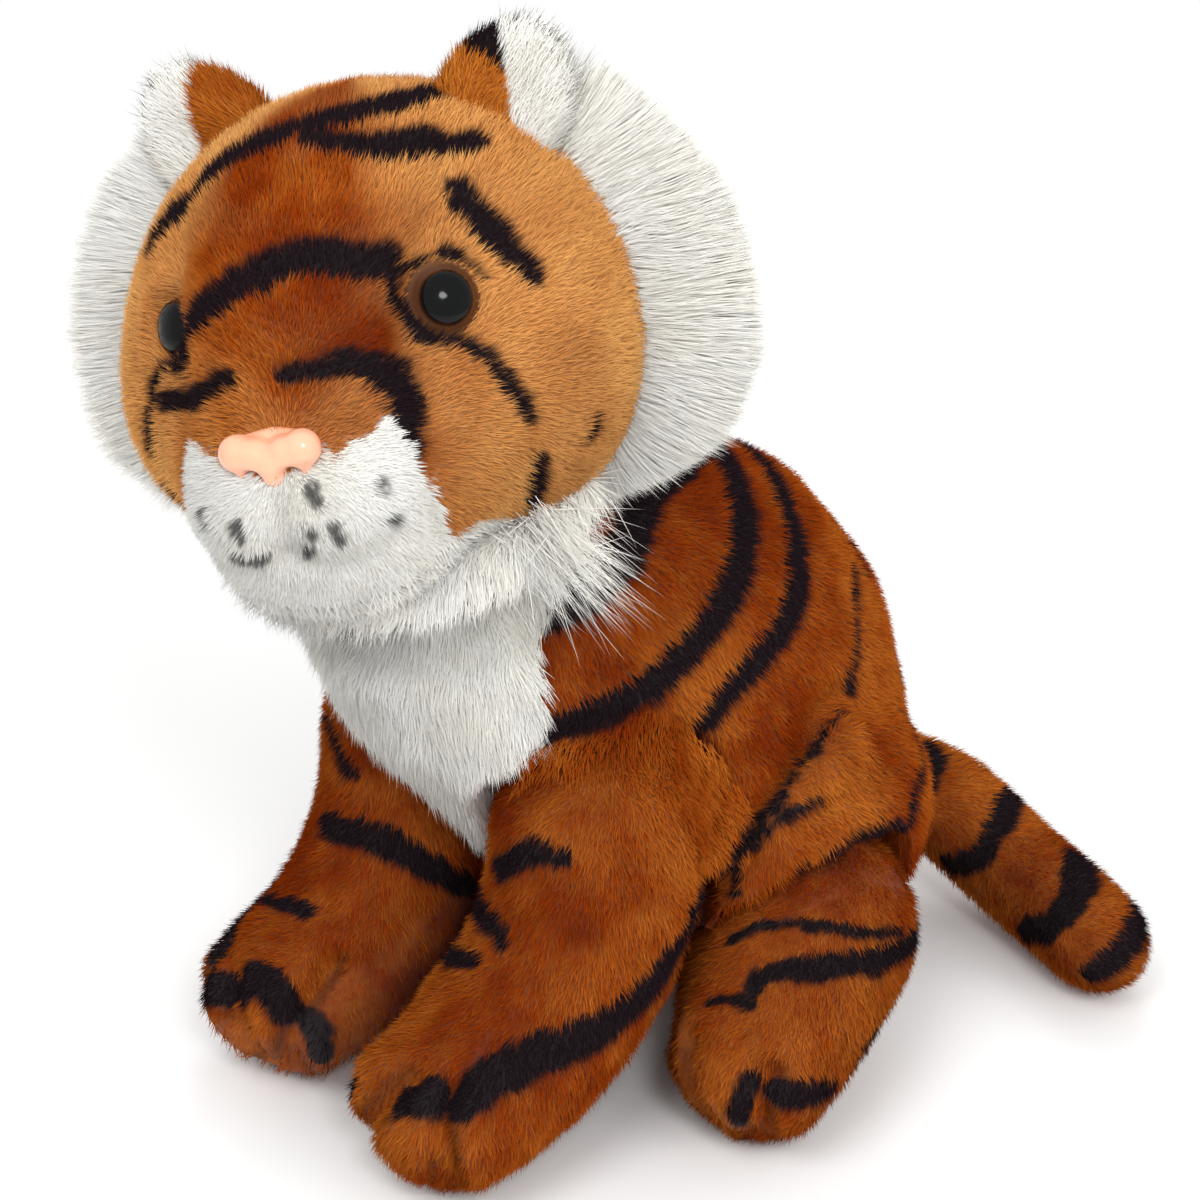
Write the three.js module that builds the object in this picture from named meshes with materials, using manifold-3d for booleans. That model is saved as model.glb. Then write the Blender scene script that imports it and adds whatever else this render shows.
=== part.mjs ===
import * as THREE from 'three';
import { mergeVertices } from 'three/addons/utils/BufferGeometryUtils.js';
import { ConvexGeometry } from 'three/addons/geometries/ConvexGeometry.js';
import Module from 'manifold-3d';

// A sitting plush tiger, 0.3 m tall. Millimetres, +Z up, the body faces -Y and the
// tiger's left side is +X. The origin is the centre of the flat under the seat.

const wasm = await Module();
wasm.setup();

// Fabric and clearances
const plushThickness = 4.2;
const seamGap = 0.35;
const turnGap = 0.6;
const sweepAllowance = 1.8;
const cutOverrun = 60;
const mergeTolerance = 0.0001;

// Colours
const rustPlush = 0xb4631f;
const cheekPlush = 0xc27a35;
const whitePlush = 0xe4e3dc;
const whitePile = 0xefeeea;
const fillingWhite = 0xf4f4f0;
const pelletCloth = 0xd9d2c3;
const eyeBrown = 0x2a1508;
const nosePink = 0xf2a07c;
const washerWhite = 0xdedede;
const plushRoughness = 0.95;
const plainRoughness = 0.5;
const glossyRoughness = 0.2;

// Torso, from the seat up to the neck, leaning forward, with a haunch on each side
const torsoHeight = 170;
const torsoLean = 92;
const torsoHalfWidth = 60;
const torsoHalfDepth = 58;
const torsoSeatCap = 46;
const torsoNeckCap = 22;
const haunchSpread = 41;
const haunchForward = 14;
const haunchHeight = 58;
const haunchHalfWidth = 37;
const haunchHalfLength = 50;
const haunchHalfHeight = 46;
const seatPanelHeight = 11;
const pelletBagHeight = 30;
const pelletBagSpread = 72;

// Bib, the white chest panel between the front legs
const bibHalfWidth = 42;
const bibTipHeight = 60;
const bibTopHeight = 185;
const bibDepth = 50;

// Head in its own frame: its centre is the origin and the face looks towards -Y
const headHeight = 213;
const headForward = 105;
const headTurnAngle = 29;
const headTiltAngle = 12;
const headLiftAngle = 10;
const headHalfWidth = 61;
const headHalfDepth = 57;
const headHalfHeight = 58;
const muzzleReach = 26;
const bridgeReach = 14;
const browReach = 2.5;
const cheekReach = 6;
const eyeSocketDepth = 5;
const gussetMuzzleHalfWidth = 23;
const gussetEyeHalfWidth = 27;
const gussetCrownHalfWidth = 37;
const gussetEyeHeight = 12;
const crownSeamBack = 6;
const muzzleHalfWidth = 28;
const muzzleTopHeight = -15;
const muzzleLowHeight = -47;
const muzzleSeamForward = 36;

// Neck: a ball of filling that the head turns on
const neckBallRadius = 27;
const neckForward = 90;
const neckHeight = 158;

// Safety eyes and nose with their stems and washers
const eyeRadius = 8.8;
const eyeDome = 5.6;
const eyeSink = 1.4;
const eyeTurnAngle = 36;
const eyeLiftAngle = 11;
const stemRadius = 2.3;
const stemLength = 13;
const washerRadius = 7;
const washerThickness = 2;
const noseHalfWidth = 12;
const noseHalfHeight = 6;
const noseReach = 6.5;
const noseLiftAngle = -11;
const noseSink = 2.3;

// Ears, ruffs and beard
const earAngle = 53;
const earSeat = 58;
const earHalfWidth = 17;
const earHalfThickness = 9.5;
const earHalfHeight = 22;
const ruffRadius = 67;
const ruffHalfWidth = 20;
const ruffHalfThickness = 9.5;
const ruffBack = 11;
const beardSpread = 45;
const beardDrop = 52;
const beardForward = 36;
const beardHalfThickness = 8.5;
const liningAngle = 60;

// Front legs
const shoulderSpread = 37;
const shoulderForward = 74;
const shoulderHeight = 122;
const frontLegReach = 52;
const frontLegHalfWidth = 27;
const frontLegTopCap = 24;
const frontPawCap = 15;
const shoulderPivotHeight = 102;
const kneeHeight = 55;
const kneeOverlap = 15;
const legOpeningRadius = 12;

// Hind legs
const hipSpread = 46;
const hipBack = 6;
const hipHeight = 42;
const hindLegReach = 70;
const hindLegSplay = 32;
const hindLegHalfWidth = 30;
const hindLegTopCap = 26;
const hindPawCap = 14;

// Tail
const tailRootSpread = 4;
const tailRootBack = 46;
const tailRootHeight = 42;
const tailReach = 104;
const tailSweep = 30;
const tailRadius = 16;
const tailCap = 12;
const tailOpeningRadius = 8;

// How far each joint swings each way, in degrees
const headTurnAngles = [-15, 15];
const headNodAngles = [-8, 4];
const earFoldAngles = [-14, 14];
const frontLegAngles = [-14, 4];
const hindLegAngles = [0, 14];
const tailAngles = [-14, 18];

// Facets
const torsoFacets = { rings: 14, sides: 26 };
const torsoCoreFacets = { rings: 9, sides: 14 };
const haunchFacets = { rings: 9, sides: 14 };
const haunchCoreFacets = { rings: 6, sides: 8 };
const limbFacets = { rings: 11, sides: 14 };
const tailFacets = { rings: 12, sides: 11 };
const coreFacets = { rings: 7, sides: 10 };
const headFacets = { rings: 22, sides: 32 };
const headCoreFacets = { rings: 12, sides: 18 };
const ruffFacets = { rings: 10, sides: 12 };
const ballFacets = { rings: 7, sides: 12 };
const trimFacets = { rings: 7, sides: 10 };
const openingFacets = { rings: 4, sides: 6 };
const headSweepFacets = { rings: 10, sides: 14 };
const eyeFacets = { rings: 4, sides: 16 };
const curveSteps = 6;

const degree = Math.PI / 180;
const acrossAxis = new THREE.Vector3(1, 0, 0);
const lengthAxis = new THREE.Vector3(0, 1, 0);
const upAxis = new THREE.Vector3(0, 0, 1);
const sides = { left: 1, right: -1 };

// A closed mesh with its doubled points merged and its empty triangles left out
function closedGeometry(geometry) {
  const bare = geometry.clone();
  bare.deleteAttribute('normal');
  bare.deleteAttribute('uv');
  const merged = mergeVertices(bare, mergeTolerance);
  const index = merged.index.array;
  const kept = [];
  for (let corner = 0; corner < index.length; corner += 3) {
    const [a, b, c] = index.slice(corner, corner + 3);
    if (a !== b && b !== c && c !== a) kept.push(a, b, c);
  }
  merged.setIndex(kept);
  return merged;
}

function solidFrom(geometry) {
  const closed = closedGeometry(geometry);
  return new wasm.Manifold(new wasm.Mesh({
    numProp: 3,
    vertProperties: new Float32Array(closed.attributes.position.array),
    triVerts: new Uint32Array(closed.index.array),
  }));
}

function geometryFrom(solid) {
  const mesh = solid.getMesh();
  const geometry = new THREE.BufferGeometry();
  geometry.setAttribute('position', new THREE.BufferAttribute(new Float32Array(mesh.vertProperties), 3));
  geometry.setIndex(new THREE.BufferAttribute(new Uint32Array(mesh.triVerts), 1));
  geometry.computeVertexNormals();
  return geometry;
}

function piece(name, solid, colour, roughness = plushRoughness) {
  const material = new THREE.MeshStandardMaterial({ color: colour, roughness, metalness: 0 });
  const mesh = new THREE.Mesh(geometryFrom(solid), material);
  mesh.name = name;
  return mesh;
}

// The solid's points, moved by a matrix
function pointsOf(solid, matrix = new THREE.Matrix4()) {
  const values = solid.getMesh().vertProperties;
  const points = [];
  for (let index = 0; index < values.length; index += 3) {
    points.push(new THREE.Vector3(values[index], values[index + 1], values[index + 2]).applyMatrix4(matrix));
  }
  return points;
}

function moved(solid, matrix) {
  const geometry = geometryFrom(solid);
  geometry.applyMatrix4(matrix);
  return solidFrom(geometry);
}

// A turn by an angle in degrees about an axis through a pivot
function turnAbout(pivot, axis, angle) {
  return new THREE.Matrix4().makeTranslation(pivot)
    .multiply(new THREE.Matrix4().makeRotationAxis(axis, angle * degree))
    .multiply(new THREE.Matrix4().makeTranslation(pivot.clone().negate()));
}

// The space that a piece sweeps as it takes each of its poses, as one convex solid
function sweptSpace(solid, poses) {
  return solidFrom(new ConvexGeometry(poses.flatMap((pose) => pointsOf(solid, pose))));
}

// Poses at both ends of a range and at rest, or with one more between each two of them
function endPoses(pivot, axis, [low, high]) {
  return [low, 0, high].map((angle) => turnAbout(pivot, axis, angle));
}

function swingPoses(pivot, axis, [low, high]) {
  return [low, low / 2, 0, high / 2, high].map((angle) => turnAbout(pivot, axis, angle));
}

// A stuffed form: a round bar, revolved from its outline, whose rings are moved onto a
// curve and swelled to each station's half width and half depth. inset draws it in.
function stuffedForm({ stations, startCap, endCap, widthAxis = acrossAxis }, facets, inset = 0) {
  const spine = new THREE.CatmullRomCurve3(stations.map(({ place }) => place), false, 'catmullrom');
  const swell = new THREE.CatmullRomCurve3(
    stations.map(({ halfWidth, halfDepth }) => new THREE.Vector3(halfWidth, halfDepth, 0)),
    false, 'catmullrom',
  );
  const length = spine.getLength();
  const girth = stations[0].halfDepth;
  const outline = new THREE.Path();
  outline.absellipse(0, startCap, girth, startCap - inset, -Math.PI / 2, 0, false);
  outline.lineTo(girth, length - endCap);
  outline.absellipse(0, length - endCap, girth, endCap - inset, 0, Math.PI / 2, false);
  const bar = new THREE.LatheGeometry(outline.getSpacedPoints(facets.rings), facets.sides);
  const points = bar.attributes.position;
  const tangent = new THREE.Vector3();
  const across = new THREE.Vector3();
  const through = new THREE.Vector3();
  const place = new THREE.Vector3();
  const size = new THREE.Vector3();
  for (let index = 0; index < points.count; index += 1) {
    const along = THREE.MathUtils.clamp(points.getY(index) / length, 0, 1);
    spine.getPointAt(along, place);
    spine.getTangentAt(along, tangent);
    swell.getPoint(spine.getUtoTmapping(along), size);
    through.crossVectors(widthAxis, tangent).normalize();
    across.crossVectors(tangent, through);
    place.addScaledVector(across, points.getX(index) / girth * (size.x - inset));
    place.addScaledVector(through, points.getZ(index) / girth * (size.y - inset));
    points.setXYZ(index, place.x, place.y, place.z);
  }
  return solidFrom(bar);
}

// Distance from the head's centre to its surface in a direction. Each swelling is a
// smooth hump around its own turn and lift, with a spread to each side and a height.
function headRadius(direction, inset = 0) {
  const ball = Math.hypot(
    direction.x / (headHalfWidth - inset),
    direction.y / (headHalfDepth - inset),
    direction.z / (headHalfHeight - inset),
  );
  let radius = 1 / ball;
  for (const { turnAngle, liftAngle, spreadAngle, tallAngle, reach, edge } of headSwellings) {
    const aside = (Math.atan2(direction.x, -direction.y) / degree - turnAngle) / spreadAngle;
    const above = (Math.asin(direction.z) / degree - liftAngle) / tallAngle;
    radius += reach * Math.exp(-(Math.abs(aside) ** edge) - Math.abs(above) ** edge);
  }
  return radius;
}

const eyeSocketAngles = { spreadAngle: 12, tallAngle: 13 };

const headSwellings = [
  { turnAngle: 0, liftAngle: -31, spreadAngle: 30, tallAngle: 20, reach: muzzleReach, edge: 3 },
  { turnAngle: 0, liftAngle: 6, spreadAngle: 24, tallAngle: 27, reach: bridgeReach, edge: 2.4 },
  { turnAngle: 0, liftAngle: 42, spreadAngle: 40, tallAngle: 25, reach: browReach, edge: 2 },
  { turnAngle: 58, liftAngle: -20, spreadAngle: 28, tallAngle: 26, reach: cheekReach, edge: 2 },
  { turnAngle: -58, liftAngle: -20, spreadAngle: 28, tallAngle: 26, reach: cheekReach, edge: 2 },
  { turnAngle: eyeTurnAngle, liftAngle: eyeLiftAngle, ...eyeSocketAngles, reach: -eyeSocketDepth, edge: 2 },
  { turnAngle: -eyeTurnAngle, liftAngle: eyeLiftAngle, ...eyeSocketAngles, reach: -eyeSocketDepth, edge: 2 },
];

function headForm(facets, inset = 0) {
  const ball = new THREE.SphereGeometry(1, facets.sides, facets.rings);
  const points = ball.attributes.position;
  const direction = new THREE.Vector3();
  for (let index = 0; index < points.count; index += 1) {
    direction.fromBufferAttribute(points, index).normalize();
    direction.multiplyScalar(headRadius(direction, inset));
    points.setXYZ(index, direction.x, direction.y, direction.z);
  }
  return solidFrom(ball);
}

function ovalAt(place, halfX, halfY, halfZ, facets = trimFacets) {
  const oval = new THREE.SphereGeometry(1, facets.sides, facets.rings);
  oval.scale(halfX, halfY, halfZ);
  oval.translate(place.x, place.y, place.z);
  return solidFrom(oval);
}

function ballAt(place, radius, facets) {
  return ovalAt(place, radius, radius, radius, facets);
}

// A whole outline from its left half
function mirrored(half) {
  const other = half.filter(({ x }) => x > 0).map(({ x, y }) => new THREE.Vector2(-x, y));
  return [...half, ...other.reverse()];
}

// An upright outline in X and Z, pushed through from one Y to another
function pushedThrough(points, fromY, toY) {
  const outline = new THREE.Shape(points);
  const slab = new THREE.ExtrudeGeometry(outline, { depth: toY - fromY, bevelEnabled: false });
  slab.rotateX(Math.PI / 2);
  slab.translate(0, toY, 0);
  return solidFrom(slab);
}

// Half of space, as a large box, on the side of the plane that the normal points to
function halfSpace(point, normal) {
  const reach = headHeight + cutOverrun;
  const box = new THREE.BoxGeometry(2 * reach, 2 * reach, 2 * reach);
  box.translate(0, 0, reach);
  box.applyQuaternion(new THREE.Quaternion().setFromUnitVectors(upAxis, normal));
  box.translate(point.x, point.y, point.z);
  return solidFrom(box);
}

function aboveHeight(height) {
  return halfSpace(new THREE.Vector3(0, 0, height), upAxis);
}

function belowHeight(height) {
  return halfSpace(new THREE.Vector3(0, 0, height), upAxis.clone().negate());
}

// The half on one side of the middle seam
function besideSeam(side) {
  return halfSpace(new THREE.Vector3(side * seamGap / 2, 0, 0), acrossAxis.clone().multiplyScalar(side));
}

function largestBody(solid) {
  return solid.decompose().sort((one, other) => other.volume() - one.volume())[0];
}

// Torso with its haunches
const torsoShares = [
  { lean: -0.02, height: -0.012, width: 0.92, depth: 0.95 },
  { lean: 0.03, height: 0.27, width: 1, depth: 1.02 },
  { lean: 0.22, height: 0.53, width: 0.98, depth: 1.19 },
  { lean: 0.73, height: 0.762, width: 0.88, depth: 0.92 },
  { lean: 1.03, height: 0.99, width: 0.72, depth: 0.76 },
];

function torsoForm(facets, sideFacets, inset = 0) {
  const stations = torsoShares.map(({ lean, height, width, depth }) => ({
    place: new THREE.Vector3(0, -torsoLean * lean, torsoHeight * height),
    halfWidth: torsoHalfWidth * width,
    halfDepth: torsoHalfDepth * depth,
  }));
  let form = stuffedForm({ stations, startCap: torsoSeatCap, endCap: torsoNeckCap }, facets, inset);
  for (const side of Object.values(sides)) {
    const place = new THREE.Vector3(side * haunchSpread, -haunchForward, haunchHeight);
    form = form.add(ovalAt(
      place, haunchHalfWidth - inset, haunchHalfLength - inset, haunchHalfHeight - inset, sideFacets,
    ));
  }
  return form;
}

// Front legs. The right one stands further back and in than the left one.
const frontLegShares = {
  left: [
    { spread: 0.95, reach: 0, height: 0.92, width: 0.95, depth: 1.1 },
    { spread: 1.02, reach: -0.02, height: 0.7, width: 1, depth: 1.12 },
    { spread: 1.05, reach: 0.14, height: 0.45, width: 1, depth: 1.06 },
    { spread: 0.97, reach: 0.6, height: 0.24, width: 1.03, depth: 0.92 },
    { spread: 0.88, reach: 1.36, height: 0.13, width: 1.06, depth: 0.66 },
  ],
  right: [
    { spread: 0.92, reach: -0.02, height: 0.92, width: 0.95, depth: 1.1 },
    { spread: 0.92, reach: -0.08, height: 0.7, width: 1, depth: 1.1 },
    { spread: 0.9, reach: 0.05, height: 0.45, width: 1, depth: 1.02 },
    { spread: 0.84, reach: 0.5, height: 0.24, width: 1.02, depth: 0.92 },
    { spread: 0.82, reach: 1.33, height: 0.13, width: 1.04, depth: 0.66 },
  ],
};

function frontLegStations(name) {
  return frontLegShares[name].map(({ spread, reach, height, width, depth }) => ({
    place: new THREE.Vector3(
      sides[name] * shoulderSpread * spread,
      -shoulderForward - frontLegReach * reach,
      shoulderHeight * height,
    ),
    halfWidth: frontLegHalfWidth * width,
    halfDepth: frontLegHalfWidth * depth,
  }));
}

function frontLegForm(name, facets, inset = 0) {
  const stations = frontLegStations(name);
  return stuffedForm({ stations, startCap: frontLegTopCap, endCap: frontPawCap }, facets, inset);
}

const hindLegShares = [
  { splay: 0, reach: 0, height: 1, width: 0.95, depth: 1.04 },
  { splay: 0.3, reach: 0.26, height: 0.95, width: 1, depth: 1.06 },
  { splay: 0.62, reach: 0.56, height: 0.78, width: 0.94, depth: 0.94 },
  { splay: 0.88, reach: 0.86, height: 0.54, width: 0.82, depth: 0.76 },
  { splay: 1, reach: 1.16, height: 0.4, width: 0.76, depth: 0.58 },
];

function hindLegStations(name) {
  return hindLegShares.map(({ splay, reach, height, width, depth }) => ({
    place: new THREE.Vector3(
      sides[name] * (hipSpread + hindLegSplay * splay), hipBack - hindLegReach * reach, hipHeight * height,
    ),
    halfWidth: hindLegHalfWidth * width,
    halfDepth: hindLegHalfWidth * depth,
  }));
}

function hindLegForm(name, facets, inset = 0) {
  const stations = hindLegStations(name);
  return stuffedForm({ stations, startCap: hindLegTopCap, endCap: hindPawCap }, facets, inset);
}

const tailShares = [
  { reach: 0, sweep: 0, height: 1, swell: 0.95 },
  { reach: 0.22, sweep: 0.72, height: 0.76, swell: 1.02 },
  { reach: 0.48, sweep: 0.86, height: 0.45, swell: 1 },
  { reach: 0.76, sweep: 0.64, height: 0.39, swell: 0.98 },
  { reach: 1, sweep: 0.32, height: 0.38, swell: 0.9 },
];

function tailForm(facets, inset = 0) {
  const stations = tailShares.map(({ reach, sweep, height, swell }) => ({
    place: new THREE.Vector3(
      tailRootSpread + tailReach * reach, tailRootBack + tailSweep * sweep, tailRootHeight * height,
    ),
    halfWidth: tailRadius * swell,
    halfDepth: tailRadius * swell,
  }));
  return stuffedForm({ stations, startCap: tailCap, endCap: tailCap, widthAxis: upAxis }, facets, inset);
}

// Ruffs of long pile behind the cheeks, in the head's frame
const ruffShares = [
  { angle: 46, radius: 0.93, width: 0.72, thickness: 0.75 },
  { angle: 22, radius: 0.98, width: 0.95, thickness: 0.95 },
  { angle: -2, radius: 1, width: 1.04, thickness: 1.05 },
  { angle: -25, radius: 0.97, width: 0.94, thickness: 1 },
  { angle: -44, radius: 0.92, width: 0.72, thickness: 0.85 },
  { angle: -58, radius: 0.87, width: 0.5, thickness: 0.65 },
];

function ruffForm(side, facets, inset = 0) {
  const stations = ruffShares.map(({ angle, radius, width, thickness }) => ({
    place: new THREE.Vector3(
      side * ruffRadius * radius * Math.cos(angle * degree),
      ruffBack,
      ruffRadius * radius * Math.sin(angle * degree),
    ),
    halfWidth: ruffHalfWidth * width,
    halfDepth: ruffHalfThickness * thickness,
  }));
  return stuffedForm({ stations, startCap: ruffHalfThickness, endCap: ruffHalfThickness }, facets, inset);
}

// Beard of long pile under the jaw, from one ruff to the other

const beardShares = [
  { spread: -1, forward: 0.1, drop: 0.76, swell: 0.7 },
  { spread: -0.58, forward: 0.72, drop: 0.98, swell: 1 },
  { spread: 0, forward: 1, drop: 1.04, swell: 1.1 },
  { spread: 0.58, forward: 0.72, drop: 0.98, swell: 1 },
  { spread: 1, forward: 0.1, drop: 0.76, swell: 0.7 },
];

function beardForm(facets, inset = 0) {
  const stations = beardShares.map(({ spread, forward, drop, swell }) => ({
    place: new THREE.Vector3(beardSpread * spread, -beardForward * forward, -beardDrop * drop),
    halfWidth: beardHalfThickness * swell,
    halfDepth: beardHalfThickness * swell,
  }));
  const caps = { startCap: beardHalfThickness, endCap: beardHalfThickness };
  return stuffedForm({ stations, ...caps, widthAxis: upAxis }, facets, inset);
}

// The direction of a place on the head, from its turn to the left and its lift
function headDirection(turn, lift) {
  return new THREE.Vector3(
    Math.sin(turn * degree) * Math.cos(lift * degree),
    -Math.cos(turn * degree) * Math.cos(lift * degree),
    Math.sin(lift * degree),
  );
}

// A place on the head's surface, drawn in by a depth, whose own Z axis points outwards
function seatOnHead(direction, depth) {
  const turn = new THREE.Quaternion().setFromUnitVectors(upAxis, direction);
  const place = direction.clone().multiplyScalar(headRadius(direction) - depth);
  return new THREE.Matrix4().compose(place, turn, new THREE.Vector3(1, 1, 1));
}

// A solid revolved about its own Z axis, from an outline of distance and height
function revolved(outline, sideCount = trimFacets.sides) {
  const solid = new THREE.LatheGeometry(outline, sideCount);
  solid.rotateX(Math.PI / 2);
  return solidFrom(solid);
}

function disc(radius, low, high, sideCount = trimFacets.sides) {
  return revolved([
    new THREE.Vector2(0, low),
    new THREE.Vector2(radius, low),
    new THREE.Vector2(radius, high),
    new THREE.Vector2(0, high),
  ], sideCount);
}

// The washer that grips a stem behind the plush
function washerSolid() {
  const bore = stemRadius + seamGap;
  const back = -plushThickness - seamGap - washerThickness;
  return revolved([
    new THREE.Vector2(bore, back),
    new THREE.Vector2(washerRadius, back),
    new THREE.Vector2(washerRadius, back + washerThickness),
    new THREE.Vector2(bore, back + washerThickness),
    new THREE.Vector2(bore, back),
  ]);
}

// The room behind a seat for the stem and its washer
function stemRoom() {
  const back = -plushThickness - seamGap - washerThickness;
  return disc(stemRadius + seamGap, -stemLength - seamGap, 0)
    .add(disc(washerRadius + seamGap, back - seamGap, back + washerThickness + seamGap));
}

function eyeSolid() {
  const outline = new THREE.Path();
  outline.moveTo(0, -stemLength);
  outline.lineTo(stemRadius, -stemLength);
  outline.lineTo(stemRadius, 0);
  outline.lineTo(eyeRadius, 0);
  outline.absellipse(0, 0, eyeRadius, eyeDome, 0, Math.PI / 2, false);
  return revolved(outline.getPoints(eyeFacets.rings), eyeFacets.sides);
}

function eyeRoom() {
  const grown = (eyeRadius + seamGap) / Math.cos(Math.PI / eyeFacets.sides);
  return disc(grown, -seamGap, headHalfWidth, eyeFacets.sides).add(stemRoom());
}

const noseRoomShare = 1.12;

// The moulded nose: a bar with a lobe at each end, over a pad that comes down to a point,
// with a nostril dent under each lobe
const noseShares = {
  bar: { aside: 0, above: 0.05, out: 0, width: 0.8, height: 0.6, reach: 0.8 },
  pad: { aside: 0, above: -0.5, out: 0, width: 0.4, height: 0.85, reach: 0.75 },
  lobe: { aside: 0.56, above: 0.15, out: 0, width: 0.44, height: 0.85, reach: 1 },
  dent: { aside: 0.5, above: -0.72, out: 0.7, width: 0.2, height: 0.32, reach: 0.4 },
};

function nosePart({ aside, above, out, width, height, reach }, side) {
  const place = new THREE.Vector3(side * noseHalfWidth * aside, noseHalfHeight * above, noseReach * out);
  return ovalAt(place, noseHalfWidth * width, noseHalfHeight * height, noseReach * reach);
}

function noseSolid() {
  let nose = nosePart(noseShares.bar, sides.left).add(nosePart(noseShares.pad, sides.left));
  for (const side of Object.values(sides)) {
    nose = nose.add(nosePart(noseShares.lobe, side));
  }
  for (const side of Object.values(sides)) {
    nose = nose.subtract(nosePart(noseShares.dent, side));
  }
  return nose.intersect(aboveHeight(0)).add(disc(stemRadius, -stemLength, stemRadius));
}

function noseRoom() {
  const lowest = noseHalfHeight * (noseShares.pad.height - noseShares.pad.above);
  const room = disc(1, -seamGap, headHalfWidth, eyeFacets.sides);
  const grown = new THREE.Matrix4().makeScale(noseHalfWidth * noseRoomShare, lowest + seamGap, 1);
  return moved(room, grown).add(stemRoom());
}

// The head's place in the whole tiger, and the poses that its neck lets it take
const headGroup = new THREE.Group();
headGroup.position.set(0, -headForward, headHeight);
headGroup.rotation.set(-headLiftAngle * degree, -headTiltAngle * degree, headTurnAngle * degree, 'ZXY');
headGroup.updateMatrixWorld(true);

const headFrame = headGroup.matrixWorld.clone();
const neckPivot = new THREE.Vector3(0, -neckForward, neckHeight);
const turnAxis = upAxis.clone().transformDirection(headFrame);
const nodAxis = acrossAxis.clone().transformDirection(headFrame);

const nodPoses = endPoses(neckPivot, nodAxis, headNodAngles);
const headPoses = swingPoses(neckPivot, turnAxis, headTurnAngles).flatMap(
  (turn) => nodPoses.map((nod) => turn.clone().multiply(nod).multiply(headFrame)),
);

function neckBall(gap) {
  return ballAt(neckPivot, neckBallRadius + gap, ballFacets);
}

// The room in the head's own frame for the neck, which turns the other way in it
function neckRoomInHead() {
  const toHead = headFrame.clone().invert();
  const poses = endPoses(neckPivot, nodAxis.clone().negate(), headNodAngles);
  return sweptSpace(neckBall(turnGap), poses.map((pose) => toHead.clone().multiply(pose)));
}

function frontLegPivot(name) {
  return new THREE.Vector3(sides[name] * shoulderSpread, -shoulderForward, shoulderPivotHeight);
}

function hindLegPivot(name) {
  return new THREE.Vector3(sides[name] * hipSpread, 0, hipHeight);
}

const tailPivot = new THREE.Vector3(tailRootSpread, tailRootBack, tailRootHeight);

// The room that the torso leaves for the head, the limbs and the tail as they move
function torsoRoom() {
  let room = sweptSpace(headForm(headSweepFacets, -turnGap - sweepAllowance), headPoses);
  room = room.add(sweptSpace(beardForm(ruffFacets, -turnGap), headPoses));
  for (const [name, side] of Object.entries(sides)) {
    room = room.add(sweptSpace(ruffForm(side, ruffFacets, -turnGap), headPoses));
    const frontLeg = frontLegForm(name, limbFacets, -turnGap);
    const frontPoses = endPoses(frontLegPivot(name), acrossAxis, frontLegAngles);
    room = room.add(sweptSpace(frontLeg.intersect(aboveHeight(kneeHeight)), frontPoses));
    room = room.add(sweptSpace(frontLeg.intersect(belowHeight(kneeHeight + kneeOverlap)), frontPoses));
    const splayAxis = upAxis.clone().multiplyScalar(side);
    const hindPoses = endPoses(hindLegPivot(name), splayAxis, hindLegAngles);
    room = room.add(sweptSpace(hindLegForm(name, limbFacets, -turnGap), hindPoses));
  }
  const tailPoses = endPoses(tailPivot, upAxis, tailAngles);
  room = room.add(sweptSpace(tailForm(tailFacets, -turnGap), tailPoses));
  return room.add(sweptSpace(neckBall(turnGap), endPoses(neckPivot, turnAxis, headTurnAngles)));
}

// The weighted bag low in the body
function pelletBagForm(gap) {
  const spread = pelletBagSpread + gap;
  return ovalAt(new THREE.Vector3(), spread, spread, pelletBagHeight + gap, haunchFacets);
}

// The bib is wide under the chin, narrows between the front legs and ends in a point
const bibShares = {
  chin: { width: 0.86, height: 0.92 },
  widest: { width: 1, height: 0.72 },
  bend: { width: 0.9, height: 0.5 },
};

function bibRegion(gap) {
  const { chin, widest, bend } = bibShares;
  const half = new THREE.Path();
  half.moveTo(bibHalfWidth * chin.width + gap, bibTopHeight + cutOverrun);
  half.lineTo(bibHalfWidth * chin.width + gap, bibTopHeight * chin.height);
  half.lineTo(bibHalfWidth * widest.width + gap, bibTopHeight * widest.height);
  half.quadraticCurveTo(
    bibHalfWidth * bend.width + gap, bibTopHeight * bend.height, 0, bibTipHeight - 2 * gap,
  );
  return pushedThrough(mirrored(half.getPoints(curveSteps)), -torsoLean - 2 * torsoHalfDepth, gap - bibDepth);
}

function makeTorso(group) {
  const room = torsoRoom().add(belowHeight(0));
  const inside = torsoForm(torsoCoreFacets, haunchCoreFacets, plushThickness);
  const skin = torsoForm(torsoFacets, haunchFacets).subtract(inside).subtract(room);
  const cover = skin.intersect(aboveHeight(seatPanelHeight + seamGap));
  const sidePanels = cover.subtract(bibRegion(seamGap));
  group.add(piece('seat_panel', largestBody(skin.intersect(belowHeight(seatPanelHeight))), rustPlush));
  group.add(piece('bib_panel', largestBody(cover.intersect(bibRegion(0))), whitePlush));
  for (const [name, side] of Object.entries(sides)) {
    group.add(piece(`body_side_${name}`, largestBody(sidePanels.intersect(besideSeam(side))), rustPlush));
  }
  const core = torsoForm(torsoCoreFacets, haunchCoreFacets, plushThickness + seamGap).subtract(room);
  group.add(piece('body_filling', largestBody(core.subtract(pelletBagForm(seamGap))), fillingWhite));
  group.add(piece('pellet_bag', largestBody(core.intersect(pelletBagForm(0))), pelletCloth));
  group.add(piece('neck_filling', neckBall(0), fillingWhite));
}

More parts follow.
